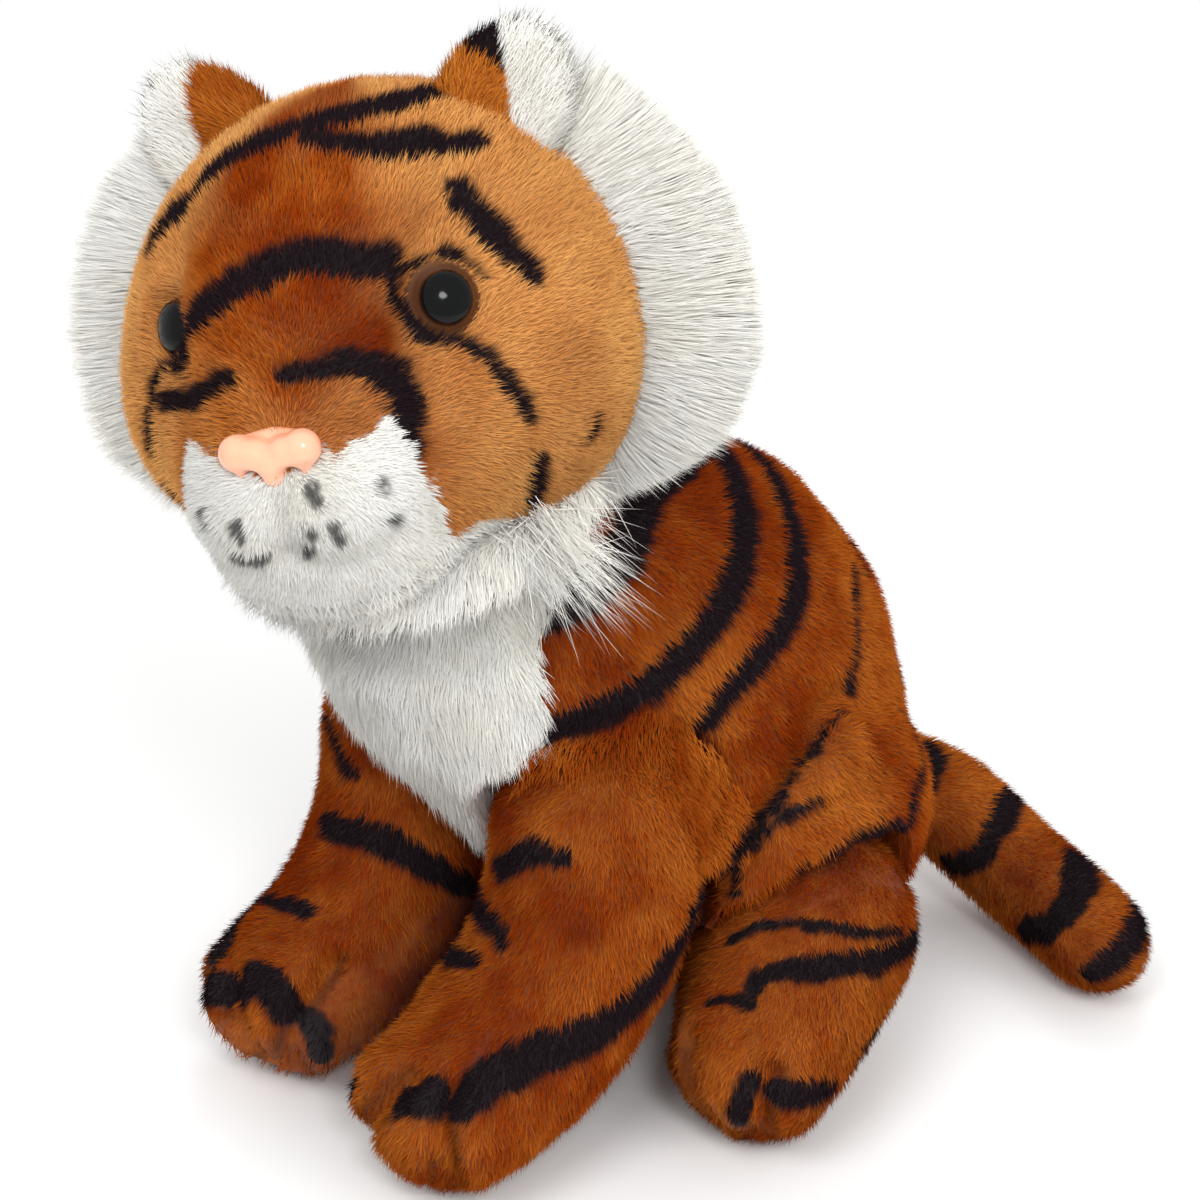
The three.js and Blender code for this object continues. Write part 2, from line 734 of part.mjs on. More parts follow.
// A limb's plush casing, open where it is sewn on, and the filling inside it
function makeLimb(group, name, form, facets, opening) {
  const casing = form(facets, 0).subtract(form(coreFacets, plushThickness)).subtract(opening);
  group.add(piece(`${name}_casing`, largestBody(casing.intersect(aboveHeight(0))), rustPlush));
  group.add(piece(`${name}_filling`, form(coreFacets, plushThickness + seamGap), fillingWhite));
}

// Where a leg's casing is sewn to the body: the inner side of its widest stretch
function legOpening(stations, side) {
  const [, { place, halfWidth }] = stations;
  const inner = place.clone().addScaledVector(acrossAxis, -side * (halfWidth - plushThickness));
  return ballAt(inner, legOpeningRadius, openingFacets);
}

function makeLimbs(group) {
  for (const [name, side] of Object.entries(sides)) {
    const frontLeg = (facets, inset) => frontLegForm(name, facets, inset);
    const hindLeg = (facets, inset) => hindLegForm(name, facets, inset);
    makeLimb(group, `front_leg_${name}`, frontLeg, limbFacets, legOpening(frontLegStations(name), side));
    makeLimb(group, `hind_leg_${name}`, hindLeg, limbFacets, legOpening(hindLegStations(name), side));
  }
  makeLimb(group, 'tail', tailForm, tailFacets, ballAt(tailPivot, tailOpeningRadius, openingFacets));
}

// The forehead gusset: one panel from the nose over the brow to the crown
const gussetCrownShare = 0.8;

function gussetRegion(gap) {
  const outline = mirrored([
    new THREE.Vector2(gussetMuzzleHalfWidth + gap, muzzleTopHeight - gap / 2),
    new THREE.Vector2(gussetEyeHalfWidth + gap, gussetEyeHeight),
    new THREE.Vector2(gussetCrownHalfWidth + gap, headHalfHeight * gussetCrownShare),
    new THREE.Vector2(gussetCrownHalfWidth + gap, headHalfHeight + cutOverrun),
  ]);
  return pushedThrough(outline, -headHalfDepth - cutOverrun, crownSeamBack);
}

const muzzleShares = [
  { width: 1, drop: 0 },
  { width: 0.95, drop: 0.7 },
  { width: 0.7, drop: 1 },
];

function muzzleRegion(gap) {
  const outline = mirrored(muzzleShares.map(({ width, drop }) => new THREE.Vector2(
    muzzleHalfWidth * width + gap, THREE.MathUtils.lerp(muzzleTopHeight, muzzleLowHeight - gap, drop),
  )));
  return pushedThrough(outline, -headHalfDepth - cutOverrun, gap - muzzleSeamForward);
}

function behindCrown(gap) {
  return halfSpace(new THREE.Vector3(0, crownSeamBack + gap, 0), lengthAxis);
}

// A piece whose own frame is set on the head by a seat
function addSeated(group, mesh, seat) {
  seat.decompose(mesh.position, mesh.quaternion, mesh.scale);
  group.add(mesh);
}

function makeHead(group) {
  const noseSeat = seatOnHead(headDirection(0, noseLiftAngle), noseSink);
  const eyeSeats = {
    left: seatOnHead(headDirection(eyeTurnAngle, eyeLiftAngle), eyeSink),
    right: seatOnHead(headDirection(-eyeTurnAngle, eyeLiftAngle), eyeSink),
  };
  const room = moved(noseRoom(), noseSeat)
    .add(moved(eyeRoom(), eyeSeats.left))
    .add(moved(eyeRoom(), eyeSeats.right))
    .add(neckRoomInHead());
  const skin = headForm(headFacets).subtract(headForm(headCoreFacets, plushThickness)).subtract(room);
  const muzzle = skin.intersect(muzzleRegion(0)).subtract(gussetRegion(seamGap));
  const besideGusset = skin.subtract(gussetRegion(seamGap)).subtract(muzzleRegion(seamGap));
  const cheeks = besideGusset.subtract(behindCrown(0));
  const filling = headForm(headCoreFacets, plushThickness + seamGap).subtract(room);
  group.add(piece('forehead_gusset', largestBody(skin.intersect(gussetRegion(0))), rustPlush));
  group.add(piece('muzzle_patch', largestBody(muzzle), whitePlush));
  group.add(piece('head_back', largestBody(skin.intersect(behindCrown(seamGap))), rustPlush));
  group.add(piece('head_filling', largestBody(filling), fillingWhite));
  for (const [name, side] of Object.entries(sides)) {
    group.add(piece(`cheek_${name}`, largestBody(cheeks.intersect(besideSeam(side))), cheekPlush));
    addSeated(group, piece(`eye_${name}`, eyeSolid(), eyeBrown, glossyRoughness), eyeSeats[name]);
    addSeated(group, piece(`eye_washer_${name}`, washerSolid(), washerWhite, plainRoughness), eyeSeats[name]);
  }
  addSeated(group, piece('nose', noseSolid(), nosePink, glossyRoughness), noseSeat);
  addSeated(group, piece('nose_washer', washerSolid(), washerWhite, plainRoughness), noseSeat);
}

// The ear's own frame: it stands out from the head along +Z
function earFrame(side) {
  const turn = new THREE.Quaternion().setFromAxisAngle(lengthAxis, side * (90 - earAngle) * degree);
  const place = new THREE.Vector3(0, 0, earSeat).applyQuaternion(turn);
  return new THREE.Matrix4().compose(place, turn, new THREE.Vector3(1, 1, 1));
}

function earForm(side, gap) {
  const lobe = ovalAt(
    new THREE.Vector3(), earHalfWidth + gap, earHalfThickness + gap, earHalfHeight + gap, ballFacets,
  );
  return moved(lobe, earFrame(side));
}

function earPoses(side) {
  const frame = earFrame(side);
  const hinge = new THREE.Vector3().applyMatrix4(frame);
  return endPoses(hinge, acrossAxis.clone().transformDirection(frame), earFoldAngles);
}

// Each ear is a folded lobe: plush on the side towards the forehead and a white lining on
// the outer side. Its foot is cut to the head in every pose that the ear takes.
function makeEars(group) {
  const head = headForm(headFacets, -turnGap);
  for (const [name, side] of Object.entries(sides)) {
    let lobe = earForm(side, 0);
    for (const pose of earPoses(side)) {
      lobe = lobe.subtract(moved(head, pose));
    }
    const hinge = new THREE.Vector3().applyMatrix4(earFrame(side));
    const outward = new THREE.Vector3(
      side * Math.sin(liningAngle * degree), -Math.cos(liningAngle * degree), 0,
    );
    const inward = outward.clone().negate();
    const liningHalf = halfSpace(hinge.clone().addScaledVector(outward, seamGap / 2), outward);
    const backHalf = halfSpace(hinge.clone().addScaledVector(inward, seamGap / 2), inward);
    group.add(piece(`ear_lining_${name}`, largestBody(lobe.intersect(liningHalf)), whitePlush));
    group.add(piece(`ear_back_${name}`, largestBody(lobe.intersect(backHalf)), rustPlush));
  }
}

function makeRuffsAndBeard(group) {
  const head = headForm(headFacets, -seamGap);
  let beard = beardForm(ruffFacets).subtract(head).subtract(neckRoomInHead());
  for (const [name, side] of Object.entries(sides)) {
    const earRoom = sweptSpace(earForm(side, turnGap), earPoses(side));
    const ruff = ruffForm(side, ruffFacets).subtract(head).subtract(earRoom);
    group.add(piece(`ruff_${name}`, largestBody(ruff), whitePile));
    beard = beard.subtract(ruffForm(side, ruffFacets, -seamGap));
  }
  group.add(piece('chin_beard', largestBody(beard), whitePile));
}

const model = new THREE.Group();
makeTorso(model);
makeLimbs(model);
makeHead(headGroup);
makeEars(headGroup);
makeRuffsAndBeard(headGroup);
model.add(headGroup);

export default model;
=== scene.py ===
"""Looks of a sitting plush tiger: stuffed skins, sewn pile, printed stripes, eyes and nose."""
import logging
import math
from dataclasses import dataclass, field
from enum import Enum
from functools import lru_cache
from typing import Callable, Optional, Sequence

import bmesh
import bpy
import numpy as np
from mathutils import Matrix, Vector
from mathutils.bvhtree import BVHTree
from mathutils.kdtree import KDTree


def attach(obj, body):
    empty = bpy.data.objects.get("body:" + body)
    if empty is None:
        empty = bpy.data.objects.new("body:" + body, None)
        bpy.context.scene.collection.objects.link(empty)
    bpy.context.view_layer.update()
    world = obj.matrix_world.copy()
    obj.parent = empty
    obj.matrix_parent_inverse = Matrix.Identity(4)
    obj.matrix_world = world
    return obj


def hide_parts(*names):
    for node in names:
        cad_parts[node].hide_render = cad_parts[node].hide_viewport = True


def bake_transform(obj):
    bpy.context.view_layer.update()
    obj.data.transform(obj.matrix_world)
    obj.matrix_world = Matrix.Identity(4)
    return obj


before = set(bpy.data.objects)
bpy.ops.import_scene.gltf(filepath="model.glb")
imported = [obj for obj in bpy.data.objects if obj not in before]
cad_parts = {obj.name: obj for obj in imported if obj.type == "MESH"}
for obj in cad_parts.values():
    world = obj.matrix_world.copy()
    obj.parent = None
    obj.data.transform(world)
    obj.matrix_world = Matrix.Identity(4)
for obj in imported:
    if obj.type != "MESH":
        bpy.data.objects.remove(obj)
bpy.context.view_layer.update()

logging.basicConfig(level=logging.INFO, format="%(message)s")
LOG = logging.getLogger("plush_tiger")

MM = 0.001
Points = np.ndarray
Field = Callable[[Points], Points]


class Hue(Enum):
    """Printed and dyed colours, as sRGB parts of 255.
    STRIPE and PUPIL also paint shadows, and TAWNY and AMBER painted highlights.
    """

    RUST = (157, 62, 6)
    AMBER = (238, 171, 98)
    TAWNY = (230, 144, 54)
    UMBER = (106, 32, 3)
    STRIPE = (34, 24, 28)
    WHITE = (249, 248, 243)
    CREAM = (240, 236, 224)
    DOT = (52, 50, 50)
    NOSE = (255, 192, 160)
    NOSE_DEEP = (252, 164, 128)
    IRIS = (78, 46, 28)
    IRIS_RIM = (112, 78, 56)
    PUPIL = (6, 7, 8)
    NYLON = (222, 222, 218)
    SACKING = (206, 196, 172)
    FLOOR = (244, 244, 243)

    @property
    def linear(self) -> tuple[float, float, float]:
        """The colour as scene-linear parts."""
        parts = [part / 255 for part in self.value]
        return tuple(p / 12.92 if p < 0.04045 else ((p + 0.055) / 1.055) ** 2.4 for p in parts)

    @property
    def row(self) -> np.ndarray:
        """The colour as an array of three."""
        return np.array(self.linear)

    @property
    def rgba(self) -> tuple[float, float, float, float]:
        """The colour with a full alpha."""
        return (*self.linear, 1.0)


# Maths helpers


def unit(rows: Points) -> Points:
    """Rows scaled to a length of one."""
    return rows / np.maximum(np.linalg.norm(rows, axis=-1, keepdims=True), 1e-12)


def ramp(values: Points, low: float, high: float) -> Points:
    """A smooth step from 0 at low to 1 at high."""
    share = np.clip((values - low) / (high - low), 0, 1)
    return share * share * (3 - 2 * share)


def lattice(cells: Points, seed: int) -> Points:
    """A fixed number from -1 to 1 for each whole cell.

    Args:
        cells: whole numbers in rows of three.
        seed: chooses the pattern.

    Returns:
        One number for each row.
    """
    mixed = cells.astype(np.int64) @ np.array([374761393, 668265263, 2147483647], np.int64)
    mixed = (mixed + seed * 1274126177) & 0xFFFFFFFF
    mixed = ((mixed ^ (mixed >> 13)) * 1103515245) & 0xFFFFFFFF
    mixed = ((mixed ^ (mixed >> 15)) * 2246822519) & 0xFFFFFFFF
    return ((mixed ^ (mixed >> 16)) & 0xFFFF) / 32767.5 - 1


def mottle(points: Points, size: float, seed: int) -> Points:
    """Smooth noise from -1 to 1 over space.

    Args:
        points: places in metres.
        size: the length over which it changes, in metres.
        seed: chooses the pattern.

    Returns:
        One number for each place.
    """
    scaled = points / size
    base = np.floor(scaled)
    part = scaled - base
    part = part * part * (3 - 2 * part)
    total = np.zeros(len(points))
    for corner in np.ndindex(2, 2, 2):
        weight = np.prod(np.where(corner, part, 1 - part), axis=1)
        total += weight * lattice(base + corner, seed)
    return total


def drift(points: Points, size: float, seed: int) -> Points:
    """Smooth noise as rows of three."""
    return np.stack([mottle(points, size, seed + step) for step in range(3)], axis=1)


def curve_points(stations: Sequence[Sequence[float]], step: float) -> Points:
    """A smooth line through stations, with a point at each step.

    Args:
        stations: rows of numbers; the first three are a place.
        step: the distance between points.

    Returns:
        Rows with as many numbers as the stations have.
    """
    rows = np.array(stations, float)
    ends = np.vstack([2 * rows[0] - rows[1], rows, 2 * rows[-1] - rows[-2]])
    found = []
    for index in range(len(rows) - 1):
        a, b, c, d = ends[index:index + 4]
        count = max(2, int(np.linalg.norm((c - b)[:3]) / step))
        for t in np.linspace(0, 1, count, endpoint=False):
            found.append(0.5 * (2 * b + (c - a) * t + (2 * a - 5 * b + 4 * c - d) * t * t
                                + (3 * b - a - 3 * c + d) * t ** 3))
    return np.array(found + [rows[-1]])


def traced(line: Sequence[Sequence[float]], sign: int = 1) -> Points:
    """A smooth line through places in millimetres, turned over for a sign of -1."""
    return curve_points(np.array(line, float) * np.array([sign, 1, 1]) * MM, MM)


def spread_out(widths: Sequence[float], count: int) -> Points:
    """Widths drawn out evenly over a number of points."""
    return np.interp(np.linspace(0, 1, count), np.linspace(0, 1, len(widths)), widths)


def read_off(line: Sequence[tuple], values: Points) -> Points:
    """The second numbers of a line's pairs, at values of the first."""
    return np.interp(values, *zip(*line))


def everywhere(places: Points) -> Points:
    """True at each place."""
    return np.ones(len(places), bool)


def point_tree(rows: Points) -> KDTree:
    """A search tree over the first three numbers of each row.

    Args:
        rows: rows that start with a place.

    Returns:
        The tree, balanced.
    """
    tree = KDTree(len(rows))
    for index, row in enumerate(rows):
        tree.insert(row[:3], index)
    tree.balance()
    return tree


# Shader writing


class Shade:
    """The node tree of a material or a world, and the one method that adds nodes to it."""

    def __init__(self, name: str, world: bool = False) -> None:
        """Starts an empty tree with an output.

        Args:
            name: the name of the material or the world.
            world: whether it is a world.
        """
        self.owner = (bpy.data.worlds if world else bpy.data.materials).new(name)
        self.owner.use_nodes = True
        self.tree = self.owner.node_tree
        self.tree.nodes.clear()
        self.output = self.node("ShaderNodeOutputWorld" if world else "ShaderNodeOutputMaterial")

    def node(self, kind: str, settings: Optional[dict] = None, **sockets: object) -> bpy.types.Node:
        """Adds a node.

        Args:
            kind: the node's type.
            settings: properties set before the sockets.
            sockets: values or Signals by socket name, with _ for a space.

        Returns:
            The new node.
        """
        made = self.tree.nodes.new(kind)
        for key, value in (settings or {}).items():
            setattr(made, key, value)
        for key, value in sockets.items():
            name = key.replace("_", " ")
            socket = made.inputs[int(name[3:])] if name[:3] == "at " else made.inputs[name]
            if isinstance(value, Signal):
                self.tree.links.new(value.socket, socket)
            else:
                socket.default_value = value
        return made

    def signal(self, kind: str, output: object, settings: Optional[dict] = None,
               **sockets: object) -> "Signal":
        """Adds a node and gives one of its outputs, by name or number."""
        return Signal(self, self.node(kind, settings, **sockets).outputs[output])

    def noise(self, scale: float, detail: float = 2.0) -> "Signal":
        """Noise from 0 to 1 on object coordinates."""
        place = self.signal("ShaderNodeTexCoord", "Object")
        return self.signal("ShaderNodeTexNoise", "Fac", Vector=place, Scale=scale, Detail=detail)

    def attribute(self, name: str) -> "Signal":
        """A colour attribute of the piece."""
        return self.signal("ShaderNodeAttribute", "Color", {"attribute_name": name})

    def mix(self, share: object, low: object, high: object, blend: str = "MIX") -> "Signal":
        """A colour between low and high."""
        return self.signal("ShaderNodeMix", 2, {"data_type": "RGBA", "blend_type": blend},
                           at_0=share, at_6=low, at_7=high)

    def relief(self, height: "Signal", strength: float, distance: float) -> "Signal":
        """The surface's direction over a fine relief."""
        return self.signal("ShaderNodeBump", "Normal", Strength=strength, Distance=distance,
                           Height=height)

    def end(self, last: "Signal") -> bpy.types.ID:
        """Leads the last signal to the output, and gives the material or the world."""
        self.tree.links.new(last.socket, self.output.inputs["Surface"])
        return self.owner

    def surface(self, **sockets: object) -> bpy.types.Material:
        """Adds the surface shader and ends the material."""
        return self.end(self.signal("ShaderNodeBsdfPrincipled", "BSDF", **sockets))


class Signal:
    """A socket that carries numbers, with the operators that shader maths needs."""

    def __init__(self, shade: Shade, socket: bpy.types.NodeSocket) -> None:
        """Keeps the socket and its tree."""
        self.shade, self.socket = shade, socket

    def _maths(self, operation: str, first: object, second: object) -> "Signal":
        """Adds one Math node."""
        return self.shade.signal("ShaderNodeMath", 0, {"operation": operation},
                                 at_0=first, at_1=second)

    def __add__(self, other: object) -> "Signal":
        """self + other."""
        return self._maths("ADD", self, other)

    __radd__ = __add__

    def __mul__(self, other: object) -> "Signal":
        """self * other."""
        return self._maths("MULTIPLY", self, other)

    __rmul__ = __mul__

    def either(self, other: object) -> "Signal":
        """The greater of self and other."""
        return self._maths("MAXIMUM", self, other)


@dataclass(frozen=True)
class PileFinish:
    """Dyed acrylic pile, coloured fibre by fibre."""

    name: str
    roughness: float = 0.9
    sheen: float = 0.0

    def material(self) -> bpy.types.Material:
        """The material that reads each fibre's own tint."""
        shade = Shade(self.name)
        return shade.surface(Base_Color=shade.attribute("tint"), Roughness=self.roughness,
                             Sheen_Weight=self.sheen, Sheen_Roughness=0.5,
                             Specular_IOR_Level=0.03)


@dataclass(frozen=True)
class BackingFinish:
    """Knitted backing cloth under the pile."""

    name: str
    stitch: float = 900.0

    def material(self) -> bpy.types.Material:
        """The tint with a fine knit in its colour and relief.

        Returns:
            The material.
        """
        shade = Shade(self.name)
        knit = shade.noise(self.stitch)
        tone = shade.mix(knit, (0.55, 0.55, 0.55, 1), (1, 1, 1, 1))
        colour = shade.mix(1.0, shade.attribute("tint"), tone, "MULTIPLY")
        return shade.surface(Base_Color=colour, Roughness=0.95,
                             Normal=shade.relief(knit, 0.4, 0.3 * MM))


@dataclass(frozen=True)
class MouldedFinish:
    """Moulded plastic with faint flow marks."""

    name: str
    low: Hue
    high: Hue
    roughness: float = 0.3
    coat: float = 0.0
    grain: float = 60.0

    def material(self) -> bpy.types.Material:
        """Two close tones and a fine relief.

        Returns:
            The material.
        """
        shade = Shade(self.name)
        flow = shade.noise(self.grain, 3.0)
        tone = shade.mix(flow, self.low.rgba, self.high.rgba)
        gloss = self.roughness - 0.06 + 0.12 * shade.noise(self.grain * 3)
        relief = shade.relief(shade.noise(self.grain * 12), 0.08, 0.2 * MM)
        return shade.surface(Base_Color=tone, Roughness=gloss, Coat_Weight=self.coat,
                             Coat_Roughness=0.06, Normal=relief)


@dataclass(frozen=True)
class TintedGlossFinish:
    """Glossy moulding whose colour is painted from behind, read from the tint."""

    name: str
    roughness: float = 0.1

    def material(self) -> bpy.types.Material:
        """The tint under a hard gloss.

        Returns:
            The material.
        """
        shade = Shade(self.name)
        gloss = self.roughness + 0.03 * shade.noise(300.0)
        return shade.surface(Base_Color=shade.attribute("tint"), Roughness=gloss,
                             Specular_IOR_Level=0.2)


# Meshes

GAP_CAP = 6 * MM
GAP_PASSES = 12
FINE_PASSES = 4
LOFT_SIDES = 56
LOFT_STEP = 1.5


@dataclass
class Skin:
    """A closed cloth form: its places, triangles and outward directions."""

    places: Points
    triangles: Points
    outward: Points = field(init=False)

    def __post_init__(self) -> None:
        """Works out the outward directions."""
        self.refresh()

    @classmethod
    def of(cls, mesh: bpy.types.Mesh) -> "Skin":
        """Reads a mesh.

        Args:
            mesh: the mesh to read.

        Returns:
            The skin.
        """
        places = np.zeros(len(mesh.vertices) * 3)
        mesh.vertices.foreach_get("co", places)
        mesh.calc_loop_triangles()
        triangles = np.zeros(len(mesh.loop_triangles) * 3, np.int32)
        mesh.loop_triangles.foreach_get("vertices", triangles)
        return cls(places.reshape(-1, 3), triangles.reshape(-1, 3))

    def refresh(self) -> None:
        """Works out the outward direction at each point again."""
        a, b, c = (self.places[self.triangles[:, k]] for k in range(3))
        face = np.cross(b - a, c - a)
        total = np.zeros_like(self.places)
        for k in range(3):
            np.add.at(total, self.triangles[:, k], face)
        self.outward = unit(total)

    def tree(self) -> BVHTree:
        """A search tree over the triangles."""
        return BVHTree.FromPolygons(self.places.tolist(), self.triangles.tolist())

    def neighbours_mean(self, values: Points, passes: int, share: object = 1.0) -> Points:
        """Values averaged over each point's neighbours.

        Args:
            values: rows, with one for each point.
            passes: how many times they are averaged.
            share: how much of that each point takes, from 0 to 1.

        Returns:
            The averaged rows.
        """
        start, end = np.vstack([self.triangles[:, pair] for pair in ([0, 1], [1, 2], [2, 0])]).T
        count = np.maximum(np.bincount(start, minlength=len(values)), 1)[:, None]
        for _ in range(passes):
            total = np.stack([np.bincount(start, column[end], len(values))
                              for column in values.T], axis=1)
            values = values + 0.5 * share * (total / count - values)
        return values

    def press(self, line: Points, radius: float, depth: float) -> None:
        """Presses a soft groove in along a line.

        Args:
            line: points near the surface.
            radius: how far the groove reaches to each side.
            depth: how deep its middle is.
        """
        surface = self.tree()
        near = NearLine(np.array([surface.find_nearest(place)[0] for place in line]))
        distance, _ = near.measure(self.places)
        self.places -= self.outward * (depth * np.exp(-(distance / radius) ** 2))[:, None]
        self.refresh()

    def soften(self, share: Points, passes: int) -> None:
        """Evens the form out where share is above 0.

        Args:
            share: from 0 to 1 for each point.
            passes: how many times the points are drawn towards their neighbours.
        """
        self.places = self.neighbours_mean(self.places, passes, share[:, None])
        self.refresh()

    def mesh(self, name: str) -> bpy.types.Mesh:
        """A Blender mesh of the skin.

        Args:
            name: the mesh's name.

        Returns:
            The mesh, shaded smooth.
        """
        made = bpy.data.meshes.new(name)
        made.from_pydata(self.places.tolist(), [], self.triangles.tolist())
        smooth_shaded(made)
        made.update()
        return made


class NearLine:
    """Finds the nearest point of a line."""

    def __init__(self, rows: Points) -> None:
        """Takes rows that start with a place."""
        self.tree = point_tree(rows)

    def measure(self, places: Points) -> tuple[Points, Points]:
        """Distance to the line and the row's number, for each place."""
        found = [self.tree.find(place) for place in places]
        return np.array([item[2] for item in found]), np.array([item[1] for item in found], int)


def merged_copy(nodes: Sequence[str]) -> bmesh.types.BMesh:
    """The CAD nodes' triangles in one mesh with their doubles merged.

    Args:
        nodes: the names of the nodes.

    Returns:
        The new form.
    """
    made = bmesh.new()
    for node in nodes:
        made.from_mesh(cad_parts[node].data)
    bmesh.ops.remove_doubles(made, verts=made.verts, dist=1e-6)
    return made


def applied(source: bpy.types.Object) -> bpy.types.Mesh:
    """The mesh with the object's modifiers applied; the object is removed.

    Args:
        source: the object.

    Returns:
        The new mesh.
    """
    bpy.context.view_layer.update()
    graph = bpy.context.evaluated_depsgraph_get()
    made = bpy.data.meshes.new_from_object(source.evaluated_get(graph))
    bpy.data.objects.remove(source)
    return made


def put(name: str, mesh: bpy.types.Mesh) -> bpy.types.Object:
    """An object for the mesh, in the scene at the origin.

    Args:
        name: the object's name.
        mesh: its mesh.

    Returns:
        The object.
    """
    made = bpy.data.objects.new(name, mesh)
    bpy.context.scene.collection.objects.link(made)
    return made


def poured(name: str, body: bmesh.types.BMesh) -> bpy.types.Mesh:
    """The edited form as a mesh; the form is freed.

    Args:
        name: the mesh's name.
        body: the form.

    Returns:
        The mesh.
    """
    mesh = bpy.data.meshes.new(name)
    body.to_mesh(mesh)
    body.free()
    return mesh


def smooth_shaded(mesh: bpy.types.Mesh) -> None:
    """Shades every face of the mesh smooth."""
    mesh.polygons.foreach_set("use_smooth", [True] * len(mesh.polygons))


def remeshed(mesh: bpy.types.Mesh, cell: float) -> bpy.types.Mesh:
    """The mesh made anew from even cells.

    Args:
        mesh: the mesh to cover.
        cell: the size of a cell in metres.

    Returns:
        The new mesh.
    """
    source = put("rough", mesh)
    remesh = source.modifiers.new("remesh", "REMESH")
    remesh.mode, remesh.voxel_size = "VOXEL", cell
    return applied(source)


def evened(body: bmesh.types.BMesh, passes: int) -> None:
    """Smooths every point of the form."""
    for _ in range(passes):
        bmesh.ops.smooth_vert(body, verts=body.verts, factor=0.5,
                              use_axis_x=True, use_axis_y=True, use_axis_z=True)


def ball(subdivisions: int) -> "Skin":
    """A ball of radius one.

    Args:
        subdivisions: how often its faces are cut.

    Returns:
        The ball.
    """
    body = bmesh.new()
    bmesh.ops.create_icosphere(body, subdivisions=subdivisions, radius=1.0)
    return Skin.of(poured("ball", body))


def keep_largest(body: bmesh.types.BMesh) -> None:
    """Deletes every part but the one with the most points.

    Args:
        body: the form to clean.
    """
    left = set(body.verts)
    parts = []
    while left:
        grown, stack = set(), [left.pop()]
        while stack:
            vert = stack.pop()
            grown.add(vert)
            for edge in vert.link_edges:
                other = edge.other_vert(vert)
                if other in left:
                    left.discard(other)
                    stack.append(other)
        parts.append(grown)
    parts.sort(key=len)
    for part in parts[:-1]:
        bmesh.ops.delete(body, geom=list(part), context="VERTS")


def stuffed(nodes: Sequence[str], cell: float, passes: int, inset: float,
            follow: float = 1.0) -> Skin:
    """A smooth closed skin that follows CAD nodes a little below their surface.

    Args:
        nodes: the CAD nodes that make the form.
        cell: the remesh size in metres.
        passes: how many times the points are smoothed.
        inset: how far below the CAD surface the skin lies.
        follow: how much of the way back to the CAD surface the smooth form is drawn.

    Returns:
        The skin.
    """
    body = merged_copy(nodes)
    surface = BVHTree.FromBMesh(body)
    rough = remeshed(poured("rough", body), cell)
    body = bmesh.new()
    body.from_mesh(rough)
    keep_largest(body)
    evened(body, passes)
    bmesh.ops.subdivide_edges(body, edges=body.edges, cuts=1, use_grid_fill=True)
    evened(body, FINE_PASSES)
    bmesh.ops.triangulate(body, faces=body.faces)
    bmesh.ops.recalc_face_normals(body, faces=body.faces)
    skin = Skin.of(poured("smooth", body))
    gap = np.zeros(len(skin.places))
    for index, (place, out) in enumerate(zip(skin.places, skin.outward)):
        gap[index] = np.dot(np.array(surface.find_nearest(place)[0]) - place, out)
    gap = np.clip(gap, -GAP_CAP, GAP_CAP)
    gap = skin.neighbours_mean(gap[:, None], GAP_PASSES)
    skin.places += skin.outward * (follow * gap - inset)
    skin.refresh()
    Filling().swell(skin)
    return skin


@dataclass(frozen=True)
class Filling:
    """Stuffing that swells a skin, tried on a coarse copy of it that is a sewn cloth bag.

    The cell is the mesh size of the bag, and no point of the skin moves further than the cap.
    """

    cell: float = 6 * MM
    pressure: float = 10.0
    cap: float = 1.4 * MM
    mass: float = 0.3
    stiffness: float = 5.0
    bending: float = 0.1
    steps: int = 20
    shared: int = 4

    def sewn_bag(self, skin: Skin) -> tuple[Points, Points]:
        """The bag's places before it is blown up, and how far each moves.

        Args:
            skin: the skin to fill.

        Returns:
            Both as rows.
        """
        bag = put("bag", remeshed(skin.mesh("bag"), self.cell))
        before = Skin.of(bag.data).places.copy()
        sewn = bag.modifiers.new("cloth", "CLOTH")
        sewn.settings.quality = 5
        sewn.settings.mass = self.mass
        sewn.settings.use_pressure = True
        sewn.settings.uniform_pressure_force = self.pressure
        sewn.settings.effector_weights.gravity = 0
        for kind in ("tension", "compression", "shear"):
            setattr(sewn.settings, f"{kind}_stiffness", self.stiffness)
        sewn.settings.bending_stiffness = self.bending
        sewn.collision_settings.use_collision = False
        sewn.point_cache.frame_start, sewn.point_cache.frame_end = 1, self.steps
        for step in range(1, self.steps + 1):
            bpy.context.scene.frame_set(step)
        give = Skin.of(applied(bag)).places - before
        bpy.context.scene.frame_set(1)
        return before, give

    def swell(self, skin: Skin) -> None:
        """Moves the skin with the bag.

        Args:
            skin: the skin to fill.
        """
        before, give = self.sewn_bag(skin)
        tree = point_tree(before)
        moved = np.zeros_like(skin.places)
        for index, place in enumerate(skin.places):
            near = tree.find_n(place, self.shared)
            weight = np.array([1 / (item[2] + 0.1 * MM) for item in near])[:, None]
            moved[index] = (give[[item[1] for item in near]] * weight).sum(axis=0) / weight.sum()
        far = np.maximum(np.linalg.norm(moved, axis=1), 1e-9)
        moved *= (np.minimum(far, self.cap) / far)[:, None]
        skin.places += moved
        skin.refresh()
        LOG.info("filled: %d points, the bag moved up to %.1f mm", len(moved), far.max() / MM)


